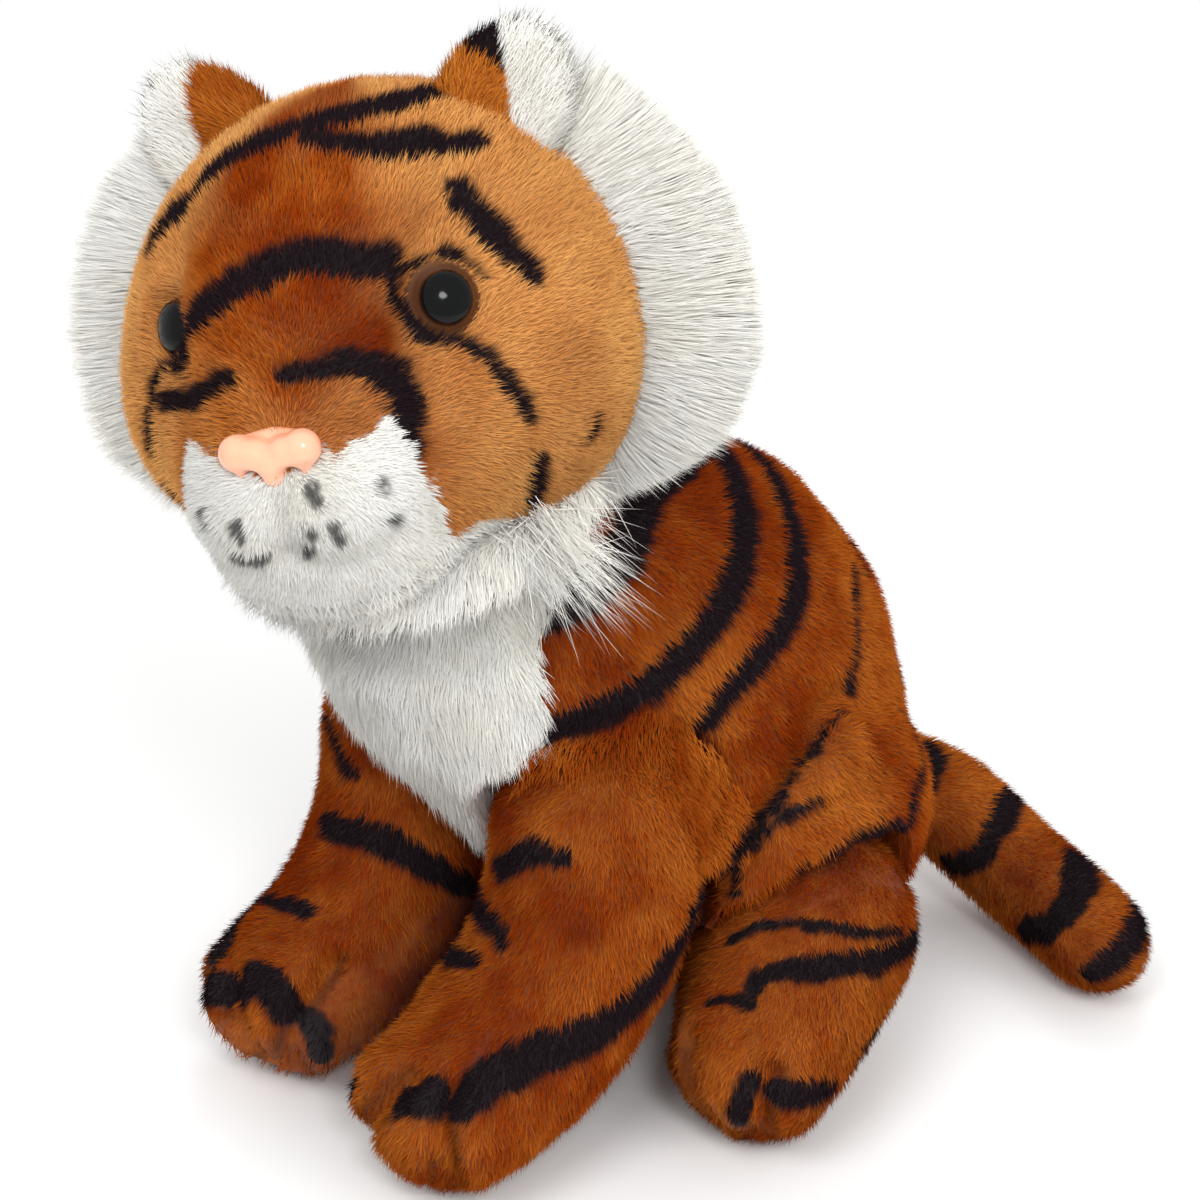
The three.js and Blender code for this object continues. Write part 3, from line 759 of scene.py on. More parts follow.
def lofted(stations: Sequence[Sequence[float]], cap: float, across: Sequence[float]) -> Skin:
    """A closed soft bar through stations.

    Args:
        stations: rows of a place, a half width and a half depth, in millimetres.
        cap: the length of each rounded end.
        across: the direction that the half width is measured along.

    Returns:
        The skin, in millimetres.
    """
    rows = curve_points(stations, 1.0)
    steps = np.linalg.norm(np.diff(rows[:, :3], axis=0), axis=1)
    run = np.concatenate([[0], np.cumsum(steps)])
    bend = np.linspace(0.12, math.pi / 2, 9)
    rise = cap * (1 - np.cos(bend))
    middle = np.arange(cap + LOFT_STEP, run[-1] - cap - 1, LOFT_STEP)
    spots = np.concatenate([rise, middle, run[-1] - rise[::-1]])
    rows = np.column_stack([np.interp(spots, run, column) for column in rows.T])
    end = np.minimum(spots, run[-1] - spots)
    girth = np.sqrt(np.clip(1 - np.clip(1 - end / cap, 0, 1) ** 2, 0, 1))[:, None, None]
    tangent = unit(np.gradient(rows[:, :3], axis=0))
    through = unit(np.cross(np.array(across, float), tangent))
    wide = np.cross(tangent, through)
    sides = LOFT_SIDES
    turn = 2 * math.pi * np.arange(sides) / sides
    ring = (np.cos(turn)[None, :, None] * (wide * rows[:, 3:4])[:, None]
            + np.sin(turn)[None, :, None] * (through * rows[:, 4:5])[:, None])
    places = (rows[:, None, :3] + girth * ring).reshape(-1, 3)
    count = len(rows)
    triangles = []
    for low in range(count - 1):
        for side in range(sides):
            a, b = low * sides + side, low * sides + (side + 1) % sides
            triangles.extend([(a, b, b + sides), (a, b + sides, a + sides)])
    first, last = len(places), len(places) + 1
    for side in range(sides):
        rim, after = (count - 1) * sides, (side + 1) % sides
        triangles.extend([(first, after, side), (last, rim + side, rim + after)])
    places = np.vstack([places, rows[0, :3], rows[-1, :3]])
    skin = Skin(places, np.array(triangles))
    middle = rows[len(rows) // 2, :3]
    index = (len(rows) // 2) * sides
    if np.dot(skin.outward[index], places[index] - middle) < 0:
        skin = Skin(places, skin.triangles[:, ::-1])
    return skin


# Printed pattern

PRINT_STEP = 0.9 * MM
EDGE_SHIFT, EDGE_BLUR = 0.6 * MM, 0.8 * MM


@dataclass(frozen=True)
class Stripe:
    """A dark band printed on the pile: a line in millimetres and half widths along it."""

    line: tuple
    widths: tuple

    def rows(self, mirrored: bool = False) -> Points:
        """Points along the band with the half width at each, in metres.

        Args:
            mirrored: whether it lies on the other side.

        Returns:
            Rows of a place and a half width.
        """
        half = spread_out(self.widths, len(self.line))
        rows = np.column_stack([np.array(self.line, float), half])
        if mirrored:
            rows[:, 0] *= -1
        return curve_points(rows * MM, PRINT_STEP)


class Print:
    """The bands of one body, laid on its skin."""

    def __init__(self, stripes: Sequence[Points], skin: Skin) -> None:
        """Drops the bands' points onto the skin.

        Args:
            stripes: rows of a place and a half width for each band.
            skin: the skin that they lie on.
        """
        surface = skin.tree()
        rows = np.vstack(list(stripes))
        for row in rows:
            row[:3] = surface.find_nearest(row[:3])[0]
        self.rows = rows
        self.line = NearLine(rows)

    def share(self, places: Points, seed: int) -> Points:
        """How dark each place is printed, from 0 to 1.

        Args:
            places: rows in metres.
            seed: chooses how the edges waver.

        Returns:
            One number for each place.
        """
        distance, nearest = self.line.measure(places)
        half = self.rows[nearest, 3]
        ragged = (0.9 * MM * mottle(places, 2.2 * MM, seed)
                  + 0.6 * MM * mottle(places, 5 * MM, seed + 9))
        return 1 - ramp(distance + ragged - half - EDGE_SHIFT, -EDGE_BLUR, EDGE_BLUR)


# Pile

COVERED_SHARE = 0.14
COVER_GAP = 2.2 * MM
FLOOR_GAP = 0.2 * MM
MAP_NUDGE = 0.003


@dataclass(frozen=True)
class Pile:
    """Sewn-in fibres of one kind.

    The length and the width at the root are in millimetres, and density counts the fibres on
    a square millimetre. Lean is the angle from the skin in degrees, with a scatter from fibre
    to fibre and a drift over the cloth. Spread is a share of the length. Root shade and tip
    multiply the tint along each fibre: a painted shade at the root, where the fibres shade
    each other, and painted light at the tip. Jitter roughens the outward directions.
    """

    length: float
    width: float
    density: float
    lean: float = 35.0
    scatter: float = 9.0
    drift: float = 10.0
    spread: float = 0.25
    stray: float = 0.16
    clump: float = 0.35
    clump_size: float = 5.0
    bend: float = 0.15
    joints: int = 1
    taper: float = 0.7
    softness: float = 0.75
    # Painted shade at each fibre's root and painted light at its tip, as multipliers of the tint.
    root: tuple = (0.66, 0.55, 0.48)
    tip: tuple = (1.16, 1.3, 1.4)
    flat: float = 0.0
    speckle: float = 0.1
    jitter: float = 0.18


def white_fibres(length: float, width: float, density: float, root: float = 0.95,
                 tip: float = 1.06, **more: float) -> Pile:
    """A white pile, with a little painted shade at each fibre's root and a little painted light at
    its tip.
    """
    return Pile(length, width, density, root=(root,) * 3, tip=(tip,) * 3,
                **{"speckle": 0.04, **more})


@dataclass
class Fur:
    """Grows a pile over a skin."""

    skin: Skin
    comb: Field
    tint: Field
    wrap: Field
    seed: int
    trim: Optional[Field] = None
    covered_by: tuple = ()

    def hidden(self, places: Points) -> Points:
        """True where the CAD nodes of another body cover a place.

        Args:
            places: rows in metres.

        Returns:
            One truth for each place.
        """
        body = merged_copy(self.covered_by)
        surface = BVHTree.FromBMesh(body)
        body.free()
        found = np.zeros(len(places), bool)
        for index, place in enumerate(places):
            near, normal, _, gap = surface.find_nearest(place)
            found[index] = gap < COVER_GAP or np.dot(place - np.array(near), normal) < 0
        return found

    def cover(self, panels: Sequence[tuple], body: str) -> None:
        """Grows the piles of a body's panels.

        Args:
            panels: rows of a piece's name, its pile, the CAD node that it stands for or an
                empty text, its finish in the record, and a test for the places on it.
            body: the body that they ride on.
        """
        for name, pile, node, slot, region in panels:
            grown = self.grow(name, pile, region, finish(slot))
            shown(grown, body, (node,) if node else ())

    def grow(self, name: str, pile: Pile, region: Field,
             finish: bpy.types.Material) -> bpy.types.Object:
        """Makes the fibres of one cloth panel.

        Args:
            name: the piece's name.
            pile: the kind of fibre.
            region: true for each place on the panel.
            finish: the pile's material.

        Returns:
            The piece.
        """
        rng = np.random.default_rng(self.seed + sum(map(ord, name)))
        skin = self.skin
        corners = skin.places[skin.triangles]
        area = 0.5 * np.linalg.norm(
            np.cross(corners[:, 1] - corners[:, 0], corners[:, 2] - corners[:, 0]), axis=1)
        mean = area / MM ** 2 * pile.density
        count = np.floor(mean + rng.random(len(mean))).astype(int)
        owner = np.repeat(np.arange(len(mean)), count)
        share = rng.random((len(owner), 2))
        flip = share.sum(axis=1) > 1
        share[flip] = 1 - share[flip]
        weights = np.column_stack([1 - share.sum(axis=1), share])[:, :, None]
        roots = (corners[owner] * weights).sum(axis=1)
        kept = region(roots)
        roots, owner, weights = roots[kept], owner[kept], weights[kept]
        if self.covered_by:
            kept = ~self.hidden(roots) | (rng.random(len(roots)) < COVERED_SHARE)
            roots, owner, weights = roots[kept], owner[kept], weights[kept]
        out = unit((skin.outward[skin.triangles[owner]] * weights).sum(axis=1))
        return self.fibres(name, pile, roots, out, rng, finish)

    def fibres(self, name: str, pile: Pile, roots: Points, out: Points,
               rng: np.random.Generator, finish: bpy.types.Material) -> bpy.types.Object:
        """Turns roots into tapering three-sided fibres in one mesh.

        Args:
            name: the piece's name.
            pile: the kind of fibre.
            roots: where the fibres stand.
            out: the skin's outward direction at each root.
            rng: what the random numbers come from.
            finish: the pile's material.

        Returns:
            The piece.
        """
        total = len(roots)
        flow = unit(self.comb(roots))
        flow = flow + pile.clump * drift(roots, pile.clump_size * MM, 11)
        flow = flow + 0.6 * pile.clump * drift(roots, 0.35 * pile.clump_size * MM, 23)
        flow = flow + pile.stray * rng.normal(size=(total, 3))
        flow = unit(flow - out * (flow * out).sum(axis=1, keepdims=True))
        lean = np.radians(pile.lean + pile.scatter * rng.normal(size=total)
                          + pile.drift * mottle(roots, 3 * MM, 31))[:, None]
        along = unit(flow * np.cos(lean) + out * np.sin(lean))
        longer = pile.spread * np.clip(rng.normal(size=total), -1.6, 1.6)
        length = pile.length * MM * (1 + longer)
        if self.trim:
            length = length * self.trim(roots)
        length = length[:, None]
        rays = unit(self.comb(roots))
        facing = unit(out - pile.flat * rays * (rays * out).sum(axis=1, keepdims=True))
        side = unit(np.cross(along, out) + 1e-9)
        other = np.cross(along, side)
        steps = pile.joints
        places, normals, tips = [], [], []
        for step in range(steps + 1):
            t = step / steps
            centre = roots + length * (t * along + pile.bend * t * t * (flow - 0.3 * out))
            if step == steps:
                places.append(centre[:, None])
                rough = 1.1 * pile.jitter * rng.normal(size=(total, 3))
                normals.append(unit(facing * pile.softness + rough)[:, None])
                tips.append(np.full((total, 1), 1.0))
                continue
            radius = pile.width * MM * 0.5 * (1 - t) ** pile.taper
            ring, faced = [], []
            for corner in range(3):
                turn = 2 * math.pi * corner / 3
                spoke = side * math.cos(turn) + other * math.sin(turn)
                ring.append(centre + radius * spoke)
                faced.append(unit(facing * pile.softness + spoke * (1 - pile.softness)
                                  + pile.jitter * rng.normal(size=(total, 3))))
            places.append(np.stack(ring, axis=1))
            normals.append(np.stack(faced, axis=1))
            tips.append(np.full((total, 3), t))
        places = np.concatenate(places, axis=1)
        places[:, :, 2] = np.maximum(places[:, :, 2], FLOOR_GAP)
        normals = np.concatenate(normals, axis=1)
        tips = np.concatenate(tips, axis=1)
        each = places.shape[1]
        faces = []
        for step in range(steps):
            low = 3 * step
            for corner in range(3):
                a, b = low + corner, low + (corner + 1) % 3
                if step == steps - 1:
                    faces.append((a, b, each - 1))
                else:
                    faces.extend([(a, b, b + 3), (a, b + 3, a + 3)])
        faces = np.array(faces)
        index = (faces[None] + (np.arange(total) * each)[:, None, None]).reshape(-1, 3)
        colour = self.tint(roots)
        colour = colour * (1 + pile.speckle * rng.normal(size=(total, 1)))
        # The tint runs from the painted shade at the root to the painted light at the tip.
        depth = blend_rows(np.array([pile.root]), np.array([pile.tip]), tips.reshape(-1))
        colour = np.clip(colour, 0.002, 1)[:, None, :] * depth.reshape(*tips.shape, 3)
        mesh = self._mesh(name, places.reshape(-1, 3), index, normals.reshape(-1, 3),
                          np.clip(colour, 0, 1).reshape(-1, 3))
        self._bake_map(mesh, roots, faces, each)
        mesh.materials.append(finish)
        made = put(name, mesh)
        LOG.info("%s: %d fibres, %d triangles", name, total, len(index))
        return made

    @staticmethod
    def _mesh(name: str, places: Points, index: Points, normals: Points,
              colour: Points) -> bpy.types.Mesh:
        """A mesh with its own outward directions and tints.

        Args:
            name: the mesh's name.
            places: its points.
            index: three points for each face.
            normals: the outward direction of each point.
            colour: the tint of each point.

        Returns:
            The mesh.
        """
        mesh = bpy.data.meshes.new(name)
        mesh.vertices.add(len(places))
        mesh.vertices.foreach_set("co", places.astype(np.float32).ravel())
        mesh.loops.add(index.size)
        mesh.loops.foreach_set("vertex_index", index.astype(np.int32).ravel())
        mesh.polygons.add(len(index))
        mesh.polygons.foreach_set("loop_start", np.arange(0, index.size, 3, dtype=np.int32))
        mesh.update(calc_edges=True)
        smooth_shaded(mesh)
        own = mesh.attributes.new("custom_normal", "FLOAT_VECTOR", "POINT")
        own.data.foreach_set("vector", normals.astype(np.float32).ravel())
        paint(mesh, colour)
        return mesh

    def _bake_map(self, mesh: bpy.types.Mesh, roots: Points, faces: Points, each: int) -> None:
        """Gives each fibre a small place on the map at its root.

        Args:
            mesh: the fibres' mesh.
            roots: where the fibres stand.
            faces: the faces of one fibre.
            each: how many points a fibre has.
        """
        flat = self.wrap(roots)
        low, high = flat.min(axis=0), flat.max(axis=0)
        flat = 0.02 + 0.95 * (flat - low) / np.maximum(high - low, 1e-9)
        offsets = np.array([[0, 0], [MAP_NUDGE, 0], [0, MAP_NUDGE]])
        ring = np.vstack([offsets + step * MAP_NUDGE * 0.3 for step in range((each - 1) // 3)]
                         + [[[MAP_NUDGE, MAP_NUDGE * 1.6]]])
        spots = flat[:, None, :] + ring[None]
        layer = mesh.uv_layers.new(name="OFBake")
        layer.data.foreach_set("uv", spots[:, faces.ravel()].astype(np.float32).ravel())


def paint(mesh: bpy.types.Mesh, colour: Points) -> None:
    """Writes the tint of each point.

    Args:
        mesh: the mesh to paint.
        colour: three parts for each point.
    """
    rows = np.column_stack([colour, np.ones(len(colour))]).astype(np.float32)
    layer = mesh.attributes.new("tint", "FLOAT_COLOR", "POINT")
    layer.data.foreach_set("color", rows.ravel())


def blend_rows(first: Points, second: Points, share: Points) -> Points:
    """Rows between first and second, which are rows or a single row."""
    return first + (second - first) * share[:, None]


def shown(piece: bpy.types.Object, body: str, stands_for: Sequence[str] = ()) -> None:
    """Rides a piece on its body, and hides the CAD nodes it stands for.

    Args:
        piece: the piece.
        body: the body it rides on.
        stands_for: the CAD nodes that it takes the place of.
    """
    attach(piece, body)
    if stands_for:
        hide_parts(*stands_for)


def painted_backing_shade(white: Points) -> Points:
    """The painted shade of the backing cloth under its pile: less of it where the pile is white."""
    return (0.7 + 0.24 * white)[:, None]


def refinished(node: bpy.types.Object, material: bpy.types.Material) -> None:
    """Gives a CAD node another material."""
    node.data.materials.clear()
    node.data.materials.append(material)


def backed(name: str, skin: Skin, colour: Points, body: str,
           stands_for: Sequence[str] = ()) -> None:
    """Puts in the padded cloth under a pile.

    Args:
        name: the piece's name.
        skin: its form.
        colour: its tint at each point, darkened by a painted shade under the pile.
        body: the body it rides on.
        stands_for: the CAD nodes that it takes the place of.
    """
    cover = put(name, skin.mesh(name))
    paint(cover.data, colour)
    cover.data.materials.append(BACKING.material())
    shown(cover, body, stands_for)
    LOG.info("%s: %d faces", name, len(cover.data.polygons))


# Finishes of this object

BACKING = BackingFinish("knit_backing")
NOSE_PLASTIC = MouldedFinish("nose_plastic", Hue.NOSE_DEEP, Hue.NOSE, 0.24, 0.7)
EYE_GLOSS = TintedGlossFinish("eye_gloss")
NYLON = MouldedFinish("washer_nylon", Hue.NYLON, Hue.CREAM, 0.45)
SACKING = BackingFinish("pellet_sacking", 500.0)


@lru_cache
def finish(slot: str) -> bpy.types.Material:
    """The pile material of a slot of the record, made once."""
    if slot.startswith("white"):
        return PileFinish(f"{slot}_pile", 0.85, 0.1).material()
    return PileFinish(f"{slot}_pile").material()


# Dyeing


def rust_tint(places: Points, seed: int, glow: float) -> Points:
    """The brown of the body cloth, with its patches and light flecks.

    Args:
        places: fibre roots.
        seed: chooses the pattern.
        glow: how golden the cloth is, from 0 to 1; on the body and shoulders it carries painted
            highlights.

    Returns:
        Colours in rows.
    """
    patch = 0.6 * mottle(places, 24 * MM, seed) + 0.35 * mottle(places, 7 * MM, seed + 3)
    grain = mottle(places, 1.3 * MM, seed + 7)
    dark = np.clip(0.24 - 0.4 * glow - 0.6 * patch + 0.3 * grain, 0, 1)
    light = np.clip(glow - 0.02 + 0.36 * patch + 0.16 * grain, 0, 1)
    return blend_rows(blend_rows(Hue.RUST.row, Hue.UMBER.row, dark), Hue.TAWNY.row, light)


def banded(colour: Points, share: Points) -> Points:
    """The cloth's colour with the stripes' dark dye over a share of it."""
    return blend_rows(colour, Hue.STRIPE.row, share)


def white_tint(places: Points, seed: int) -> Points:
    """The white cloth with faint creamy patches.

    Args:
        places: fibre roots.
        seed: chooses the pattern.

    Returns:
        Colours in rows.
    """
    patch = 0.3 + 0.4 * mottle(places, 12 * MM, seed)
    share = np.clip(patch + 0.3 * mottle(places, 2 * MM, seed + 5), 0, 1)
    return blend_rows(Hue.WHITE.row, Hue.CREAM.row, share)


def towards(centre: Sequence[float]) -> Field:
    """Combs away from a point given in millimetres."""
    origin = np.array(centre) * MM
    return lambda places: places - origin


def along(direction: Sequence[float]) -> Field:
    """Combs in one direction."""
    way = np.array(direction, float)
    return lambda places: np.tile(way, (len(places), 1))


def around(centre: Sequence[float], axis: Sequence[float]) -> Field:
    """Unrolls a form about an axis: the turn, then the distance along it.

    Args:
        centre: a point of the axis in millimetres.
        axis: its direction.

    Returns:
        The function that unrolls places.
    """
    origin, way = np.array(centre) * MM, unit(np.array(axis, float))
    first = unit(np.cross(way, [0.31, 0.2, 0.93]))
    second = np.cross(way, first)

    def wrap(places: Points) -> Points:
        """Turn and distance in rows."""
        away = places - origin
        return np.column_stack([np.arctan2(away @ second, away @ first), away @ way])

    return wrap


# Printed bands and the grooves between the toes, in millimetres
# All are on the left side, but for the bands of the far paw, which are the right one's own.

BODY_BANDS = (
    Stripe(((0, -12, 161), (14, -20, 164), (27, -42, 168), (36, -56, 167), (44, -69, 161),
            (45, -83, 155), (42, -93, 152)), (4.8, 5.0, 5.2, 5.2, 4.4)),
    Stripe(((0, -4, 156), (20, -12, 157), (37, -23, 151), (47, -37, 142), (52, -54, 133),
            (52, -71, 125), (48, -86, 121), (41, -98, 117)), (4.0, 4.4, 4.9, 4.6, 3.8)),
    Stripe(((0, 10, 148), (20, 2, 148), (40, -7, 140), (49, -17, 130), (54, -31, 123),
            (55, -46, 115), (55, -53, 109)), (3.0, 3.8, 4.4, 3.8, 2.6)),
    Stripe(((36, 22, 125), (44, 12, 119), (50, 7, 111), (55, 0, 101)), (1.0, 1.4, 1.3, 0.8)),
    Stripe(((57, -6, 101), (61, -30, 93), (62, -43, 82), (62, -51, 74), (61, -54, 66)),
           (0.5, 1.1, 1.5, 1.2, 0.8)),
    Stripe(((62, -47, 77), (67, -35, 83), (69, -25, 84)), (1.2, 1.3, 0.9)),
    Stripe(((50, 27, 88), (63, 20, 76), (70, 10, 74), (73, 6, 66), (75, 2, 60), (79, -10, 56),
            (81, -19, 58), (80, -33, 58)), (0.9, 1.2, 2.2, 3.0, 3.6, 3.2, 1.4)),
    Stripe(((0, 34, 128), (16, 31, 124), (30, 27, 116)), (2.6, 2.4, 1.2)),
    Stripe(((0, 50, 98), (20, 46, 94), (38, 38, 86)), (3.0, 2.8, 1.4)),
    Stripe(((0, 58, 66), (22, 54, 62), (42, 44, 52)), (2.8, 2.6, 1.4)),
)
HIND_LEG_BANDS = (
    Stripe(((72, 14, 34), (79, 4, 38), (88, -15, 44), (89, -24, 46), (87, -40, 50), (77, -54, 49),
            (78, -60, 43)), (2.4, 3.2, 3.4, 3.0, 2.4, 1.5)),
    Stripe(((62, -55, 57), (68, -47, 58), (79, -36, 57), (86, -24, 53), (87, -10, 48)),
           (1.0, 1.3, 1.3, 1.0)),
    Stripe(((68, -64, 42), (77, -60, 45)), (0.9, 0.9)),
    Stripe(((99, -46, 20), (99, -60, 26), (92, -71, 27), (90, -72, 14)), (2.6, 3.4, 3.4, 2.4)),
    Stripe(((88, -6, 20), (97, -26, 22), (100, -34, 14)), (2.2, 2.8, 1.6)),
)
FRONT_LEG_BANDS = (
    Stripe(((55, -52, 66), (61, -61, 65), (62, -65, 59), (65, -79, 52), (65, -92, 46),
            (60, -108, 43), (54, -122, 40), (48, -136, 36), (35, -141, 34)),
           (3.0, 4.0, 4.8, 5.0, 5.0, 4.6, 4.2)),
    Stripe(((16, -103, 55), (18, -108, 52), (32, -111, 58)), (2.2, 2.8, 2.0)),
    Stripe(((13, -135, 24), (17, -141, 27)), (1.6, 1.6)),
    Stripe(((31, -103, 80), (44, -101, 89), (51, -98, 89)), (3.0, 3.0, 1.8)),
    Stripe(((38, -102, 63), (20, -98, 64), (10, -90, 57), (6, -77, 46)), (3.0, 3.6, 3.4, 2.4)),
)
FAR_PAW_BANDS = (
    Stripe(((-55, -52, 66), (-61, -61, 65), (-62, -65, 59), (-62, -79, 52), (-62, -92, 46),
            (-58, -108, 42), (-52, -124, 36), (-44, -138, 27), (-31, -140, 32), (-23, -136, 37),
            (-12, -135, 31), (-5, -133, 25), (-4, -131, 18)),
           (3.0, 4.0, 4.6, 4.6, 4.4, 4.4, 4.2, 3.4)),
    Stripe(((-46, -117, 43), (-28, -117, 47)), (1.8, 1.8)),
    Stripe(((-38, -102, 63), (-20, -98, 64), (-10, -90, 57), (-6, -77, 46)), (3.2, 3.8, 3.6, 2.6)),
    Stripe(((-31, -103, 80), (-44, -101, 89), (-51, -98, 89)), (2.4, 2.2, 1.4)),
)
TAIL_BANDS = (
    Stripe(((27, 66, 51), (30, 63, 48), (31, 58, 40)), (3.0, 3.4, 3.0)),
    Stripe(((46, 80, 36), (50, 74, 38), (53, 59, 28), (42, 55, 19)), (3.0, 3.4, 3.4, 3.0)),
    Stripe(((74, 74, 28), (85, 62, 32), (85, 51, 23), (72, 50, 13)), (4.0, 4.4, 4.4, 3.6)),
    Stripe(((92, 78, 20), (101, 70, 25), (106, 56, 21), (101, 49, 13)), (3.6, 4.0, 4.0, 3.2)),
)
FRONT_TOES = (
    ((15, -118, 38), (12, -130, 32), (12, -137, 20), (14, -136, 6)),
    ((37, -137, 38), (31, -144, 28), (24, -142, 15), (23, -140, 4)),
    ((48, -132, 38), (51, -139, 31), (53, -140, 18), (52, -139, 5)),
)
HIND_TOES = (
    ((53, -66, 28), (57, -73, 20), (60, -73, 10), (60, -72, 3)),
    ((66, -72, 31), (70, -76, 22), (74, -74, 10), (74, -73, 3)),
    ((91, -66, 33), (92, -70, 23), (91, -69, 12), (91, -68, 3)),
)
# Painted highlights on the shoulder, the haunch and the upper flank: place in millimetres, spread
# and strength.
PAINTED_HIGHLIGHT_SPOTS = (((50, -60, 128), 24, 0.26), ((66, -16, 84), 15, 0.34), ((56, 10, 120), 20, 0.14))
TRUNK = ("body_side_left", "body_side_right", "bib_panel", "seat_panel", "body_filling")


def flank_gold_and_highlight(places: Points) -> Points:
    """How golden the body's cloth is, with painted highlights on the shoulder, on the roll over the
    haunch and on the upper flank.

    Args:
        places: rows in metres.

    Returns:
        From 0 to 1 for each place.
    """
    glow = np.full(len(places), 0.1)
    left = np.column_stack([np.abs(places[:, 0]), places[:, 1:]]) / MM
    for centre, spread, more in PAINTED_HIGHLIGHT_SPOTS:
        away = np.linalg.norm(left - np.array(centre), axis=1)
        glow += more * np.exp(-(away / spread) ** 2)
    return glow


@dataclass
class Torso:
    """The leaning body with its haunches, bib and seat."""

    cell: float = 3.7 * MM
    passes: int = 12
    nape_passes: int = 70
    nape_heights: tuple = (146, 160)
    nape_lengths: tuple = (-78, -64)
    inset: float = 1.8 * MM
    seat: float = 8 * MM
    flank: float = -8 * MM
    pile: Pile = Pile(2.8, 0.33, 2.1, lean=48)
    seat_pile: Pile = Pile(2.4, 0.33, 1.5, lean=40)
    bib_pile: Pile = white_fibres(5.0, 0.34, 2.2, lean=24, clump=0.3, clump_size=7, stray=0.08,
                                  jitter=0.11)
    folds: tuple = (
        (((55, -4, 103), (57, -15, 100), (60, -24, 95), (62, -34, 90), (62, -42, 85), (61, -47, 79),
          (62, -51, 74), (61, -54, 67)), 4.5, 4.0),
        (((63, -8, 96), (67, -20, 91), (67, -31, 87), (65, -39, 82)), 5.5, -2.6),
        (((68, -18, 83), (68, -27, 80), (66, -37, 77), (64, -45, 74)), 3.0, 1.6),
    )
    bib_edge: tuple = ((56, 0), (62, 6), (78, 19), (96, 30), (115, 39), (130, 42), (152, 40),
                       (190, 34))

    def bib(self, places: Points) -> Points:
        """True where the white bib lies.

        Args:
            places: rows in metres.

        Returns:
            One truth for each place.
        """
        half = read_off(self.bib_edge, places[:, 2] / MM) * MM
        ragged = 0.7 * MM * mottle(places, 2 * MM, 61) + 0.5 * MM * mottle(places, 5 * MM, 67)
        front = places[:, 1] < -(52 + 0.22 * places[:, 2] / MM) * MM
        return front & (np.abs(places[:, 0]) + ragged < half)

    def build(self) -> None:
        """Makes the skin and its six piles."""
        skin = stuffed(TRUNK, self.cell, self.passes, self.inset)
        height, length = skin.places[:, 2] / MM, skin.places[:, 1] / MM
        nape = ramp(height, *self.nape_heights) * ramp(length, *self.nape_lengths)
        skin.soften(nape, self.nape_passes)
        for mirror in (1, -1):
            for line, radius, depth in self.folds:
                skin.press(traced(line, mirror), radius * MM, depth * MM)
        rows = [band.rows(mirrored) for band in BODY_BANDS for mirrored in (False, True)]
        printed = Print(rows, skin)

        def tint(places: Points) -> Points:
            """Brown with bands, or white on the bib."""
            colour = banded(rust_tint(places, 41, flank_gold_and_highlight(places)), printed.share(places, 5))
            return blend_rows(colour, white_tint(places, 43), self.bib(places).astype(float))

        # The backing is painted darker than the pile: painted shade under the fibres.
        ground = tint(skin.places) * painted_backing_shade(self.bib(skin.places))
        backed("body_skin", skin, ground, "torso", ("body_filling",))
        limbs = ("front_leg_left", "front_leg_right", "hind_leg_left", "hind_leg_right", "tail")
        covers = (*(f"{name}_casing" for name in limbs), "neck_filling")
        fur = Fur(skin, along((0, 0.3, -1)), tint, around((0, -30, 90), (0, -0.45, 1)), 3,
                  covered_by=covers)

        def side(sign: int, behind: bool) -> Field:
            """True on one side's cloth, behind or before the flank."""
            return lambda p: (~self.bib(p) & (p[:, 0] * sign >= 0) & (p[:, 2] > self.seat)
                              & ((p[:, 1] > self.flank) == behind))

        panels = (
            ("body_pile_left", self.pile, "body_side_left", "rust_plush", side(1, False)),
            ("body_pile_right", self.pile, "body_side_right", "rust_plush", side(-1, False)),
            ("back_pile_left", self.pile, "", "rust_plush", side(1, True)),
            ("back_pile_right", self.pile, "", "rust_plush", side(-1, True)),
            ("seat_pile", self.seat_pile, "seat_panel", "rust_plush",
             lambda p: ~self.bib(p) & (p[:, 2] <= self.seat)),
            ("bib_pile", self.bib_pile, "bib_panel", "white_plush", self.bib),
        )
        fur.cover(panels, "torso")


@dataclass
class Shoulder:
    """Pile that runs from the body over the top of a front leg and hides the seam there."""

    side: str
    sign: int
    bands: tuple
    line: tuple = ((26, -92, 106), (31, -88, 109), (44, -80, 112), (54, -69, 107), (59, -58, 96),
                   (60, -53, 82))
    reach: float = 10.5
    cell: float = 3.4 * MM
    passes: int = 20
    inset: float = 0.6 * MM
    follow: float = 0.25
    pile: Pile = Pile(2.8, 0.33, 2.3, lean=48)

    def build(self) -> None:
        """Grows the pile on a smooth skin over body and leg."""
        leg = f"front_leg_{self.side}"
        nodes = ("body_side_left", "body_side_right", "bib_panel", "body_filling",
                 f"{leg}_casing", f"{leg}_filling")
        skin = stuffed(nodes, self.cell, self.passes, self.inset, self.follow)
        rows = [band.rows(self.sign < 0) for band in BODY_BANDS]
        rows += [band.rows() for band in self.bands]
        printed = Print(rows, skin)
        seam = NearLine(traced(self.line, self.sign))
        bib = Torso().bib

        def tint(places: Points) -> Points:
            """Brown with bands."""
            return banded(rust_tint(places, 41, flank_gold_and_highlight(places)), printed.share(places, 5))

        def near(places: Points) -> Points:
            """True close to the seam, with an uneven edge."""
            away = seam.measure(places)[0] + 2 * MM * mottle(places, 3 * MM, 29)
            return (away < self.reach * MM) & ~bib(places)

        fur = Fur(skin, towards((self.sign * 30, -50, 150)), tint,
                  around((self.sign * 44, -72, 100), (0, 0, 1)), 33)
        pile = fur.grow(f"shoulder_pile_{self.side}", self.pile, near, finish("rust_plush"))
        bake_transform(pile)


